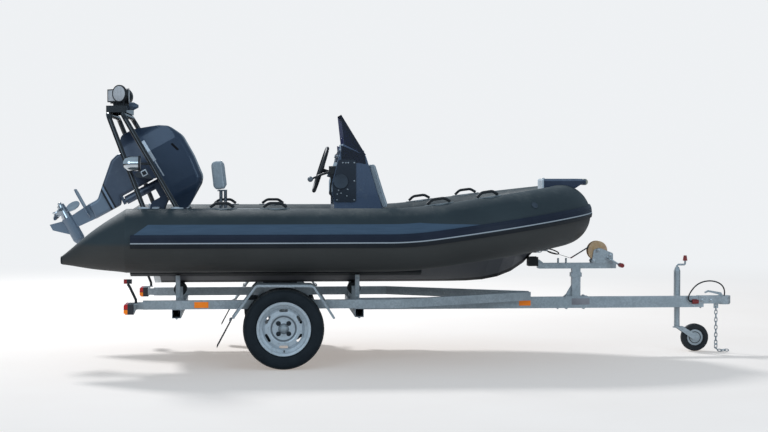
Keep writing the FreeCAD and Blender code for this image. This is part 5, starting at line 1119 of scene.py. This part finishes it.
def make_engine_fittings():
    """The tilt switch in its pale frame on the pan, and the clamp bracket's bolts."""
    seat = at(-962, -182.9, 1312)
    for part, size, depth, material in (("frame", 0.042, 0.0008, pale_trim),
                                        ("rocker", 0.027, 0.0018, black_moulding)):
        block = rounded_block("tilt_switch_" + part, (size, depth, size), (0, 0, 0), 0.0003, 2)
        block.data.transform(Matrix.Rotation(ENGINE_TILT, 4, "Y"))
        block.data.transform(Matrix.Translation(seat - Vector((0, depth / 2, 0))))
        dressed(block, material, "outboard")
    spots = both_sides([(at(-912, 123.2, z), OUT) for z in (1040, 900)])
    spots += both_sides([(at(-854.8, 115, z), (1, 0, 0)) for z in (1020, 900)])
    bolted("clamp_bolts", spots, 0.017)
    rise, run = math.sin(ENGINE_TILT), math.cos(ENGINE_TILT)
    shaft = Vector((-run, 0, rise))
    aft, down = 0.3126, 0.668
    end = TILT_AXIS + shaft * aft - Vector((rise, 0, run)) * down
    nut = bolt_head(0.024, 0.014, 0.003)
    fitted("propeller_nut", nut, [(end, shaft, 0.0)], steel_bolt, "propeller_body")


def make_console_fittings():
    """Two round gauges and a row of switches on the dash, and the side hatch's screws and ring."""
    facing = Vector((-0.9523, 0, 0.3053))

    def on_dash(y, lift):
        return at(403.5, y, 1430.4) + facing * lift

    for y in (-62, 62):
        bezel = round_disc("bezel", 0.046, 0.008, 0.005, 0.003, 56)
        fitted("gauge_bezel", bezel, [(on_dash(y, 0.0002), facing, 0.0)], dark_chrome)
        dial = round_disc("dial", 0.0388, 0.0008, 0.003, 0.0002, 48)
        fitted("gauge_dial", dial, [(on_dash(y, 0.0053), facing, 0.0)], black_moulding)
        hand = rounded_block("hand", (0.0022, 0.030, 0.0012), (0, 0.010, 0.0006), 0.0004, 1)
        fitted("gauge_hand", hand, [(on_dash(y, 0.0063), facing, 38.0)], red_moulding)
    panel = rounded_block("panel", (0.052, 0.110, 0.004), (0, 0, 0.002), 0.0015, 2)
    fitted("switch_panel", panel, [(on_dash(172, 0.0002), facing, 90.0)], black_moulding)
    rocker = rounded_block("rocker", (0.015, 0.026, 0.008), (0, 0, 0.004), 0.002, 2)
    spots = [(on_dash(172 + shift, 0.0041), facing, 0.0) for shift in (-40, -20, 0, 20, 40)]
    fitted("rockers", rocker, spots, grey_plastic)
    screws = ((386, 1122), (508, 1122), (508, 1256), (428, 1384), (449, 1384), (466, 1384), (508, 1384),
              (388, 1163), (414, 1169), (456, 1149), (397, 1190), (462, 1196))
    bolted("hatch_screws", [(at(x, -267.5, z), (0, -1, 0)) for x, z in screws], 0.006)
    fitted("hatch_cover", round_disc("cover", 0.051, 0.004, 0.003, 0.001, 56),
           [(at(412, -274.4, 1253), (0, -1, 0), 0.0)], disc_moulding)
    screen = [(at(575.8, y, 1463.9), (0.859, 0, 0.512)) for y in (-190, -64, 64, 190)]
    bolted("windscreen_screws", screen, 0.010)


def make_screen_wings():
    """The smoked side wings that close the windscreen's foot down over the pod."""
    outline = [(413, 1508), (418, 1390), (540, 1383), (590, 1375), (583, 1438)]
    for side, prefix in SIDES:
        corners = [at(x, side * 260.2, z) for x, z in outline]
        dressed(pushed(prefix + "_screen_wing", corners, (0, side * 0.003, 0)), smoked)


def make_strap_hook():
    """The black snap hook between the strap's red end and the bow eye."""
    loop = [(0, 0), (16, 11), (48, 13), (86, 9), (100, 0), (86, -9), (48, -13), (16, -11)]
    start = Vector((1.0975, 0, 0.7545))
    along = Vector((0.952, 0, -0.306))
    up = Vector((0.306, 0, 0.952))
    line = [start + along * (reach / 1000) + up * (high / 1000) for reach, high in loop]
    dressed(tube_piece("strap_hook", line, 0.0045, closed=True, resolution=5), black_rubber)


for side, prefix in SIDES:
    make_tyre(side, prefix)
    make_wheel_fittings(side, prefix)
make_seat()
make_backrest()
make_console_pads()
make_console_fittings()
make_trailer_bolts()
make_axle_clamps()
make_lamp_lenses()
make_bow_light()
make_tube_valves()
make_chain()
make_plate()
make_breakaway_cable()
make_engine_fittings()
make_screen_wings()
make_strap_hook()


# Stage: pale floor, soft light, and the camera where the photographer stood

def make_floor():
    """A pale floor that fades into the background far out."""
    floor = primitive("plane", "studio_floor", size=160, location=(0, 0, -0.002))
    shade = Shade("studio_floor", {"Specular IOR Level": 0.0, "Emission Strength": 1.0})
    x, y, _ = shade.axes()
    far = off_centre(x, y, 0.0, 0.0).above(8.0, 4.5)
    cloud = shade.noise(0.7, 5.0, 0.6)
    speck = shade.noise(55.0, 3.0, 0.6)
    tone = shade.patchy(cloud, rgb(0.70, 0.66, 0.63), rgb(0.74, 0.70, 0.67))
    seen = shade.node("ShaderNodeLightPath", output="Is Camera Ray")
    glow = shade.mix(far, rgb(0.34, 0.30, 0.27), rgb(0.86, 0.88, 0.90))
    dark = rgb(0, 0, 0)
    shade.finish(colour=shade.mix(far, tone, dark), glow=shade.mix(seen, dark, glow), rough=0.75,
                 normal=shade.bump(speck, 0.0004))
    floor.data.materials.append(shade.material)


def stood(name, data, spot, aim):
    """A lamp or camera at a spot, looking along aim."""
    holder = bpy.data.objects.new(name, data)
    bpy.context.scene.collection.objects.link(holder)
    holder.location = spot
    holder.rotation_euler = aim.to_track_quat("-Z", "Y").to_euler()
    return holder


def make_light():
    """A blue sky's light that the camera sees as white, and three lamps."""
    world = bpy.data.worlds.new("studio")
    bpy.context.scene.world = world
    world.use_nodes = True
    tree = world.node_tree
    ground = next(item for item in tree.nodes if item.type == "BACKGROUND")
    ground.inputs["Color"].default_value = rgb(0.62, 0.82, 1.0)
    ground.inputs["Strength"].default_value = 0.42
    out = next(item for item in tree.nodes if item.type == "OUTPUT_WORLD")
    seen, path, most, choose = (tree.nodes.new("ShaderNode" + kind)
                                for kind in ("Background", "LightPath", "Math", "MixShader"))
    seen.inputs["Color"].default_value = rgb(0.86, 0.88, 0.90)
    most.operation = "MAXIMUM"
    for start, end in ((path.outputs["Is Camera Ray"], most.inputs[0]),
                       (path.outputs["Is Transmission Ray"], most.inputs[1]),
                       (most.outputs[0], choose.inputs[0]), (ground.outputs[0], choose.inputs[1]),
                       (seen.outputs[0], choose.inputs[2]), (choose.outputs[0], out.inputs["Surface"])):
        tree.links.new(start, end)
    for name, spot, target, size, power, tint in (
            ("key", (-4.6, 7.6, 8.6), (-0.1, 0.0, 0.6), 1.8, 1150.0, (0.96, 0.98, 1.0)),
            ("fill", (-5.0, -9.0, 4.5), (0.0, 0.0, 0.8), 6.0, 170.0, (0.64, 0.83, 1.0)),
            ("front", (5.5, -7.0, 3.0), (0.3, 0.0, 0.7), 4.0, 85.0, (0.64, 0.83, 1.0))):
        lamp = bpy.data.lights.new(name, "AREA")
        lamp.energy = power
        lamp.color = tint
        lamp.shape = "DISK"
        lamp.size = size
        stood(name, lamp, spot, Vector(target) - Vector(spot))


def make_camera():
    """The camera where the photographer stood."""
    lens = bpy.data.cameras.new("photographer")
    lens.sensor_width = 36.0
    lens.lens = 77.67
    lens.clip_end = 400.0
    yaw = math.radians(4.5)
    pitch = math.radians(1.69)
    aim = Vector((math.sin(yaw) * math.cos(pitch), math.cos(yaw) * math.cos(pitch), -math.sin(pitch)))
    bpy.context.scene.camera = stood("photographer", lens, (-1.021, -11.898, 1.353), aim)


make_floor()
make_light()
make_camera()
bpy.context.scene.view_settings.view_transform = "Standard"
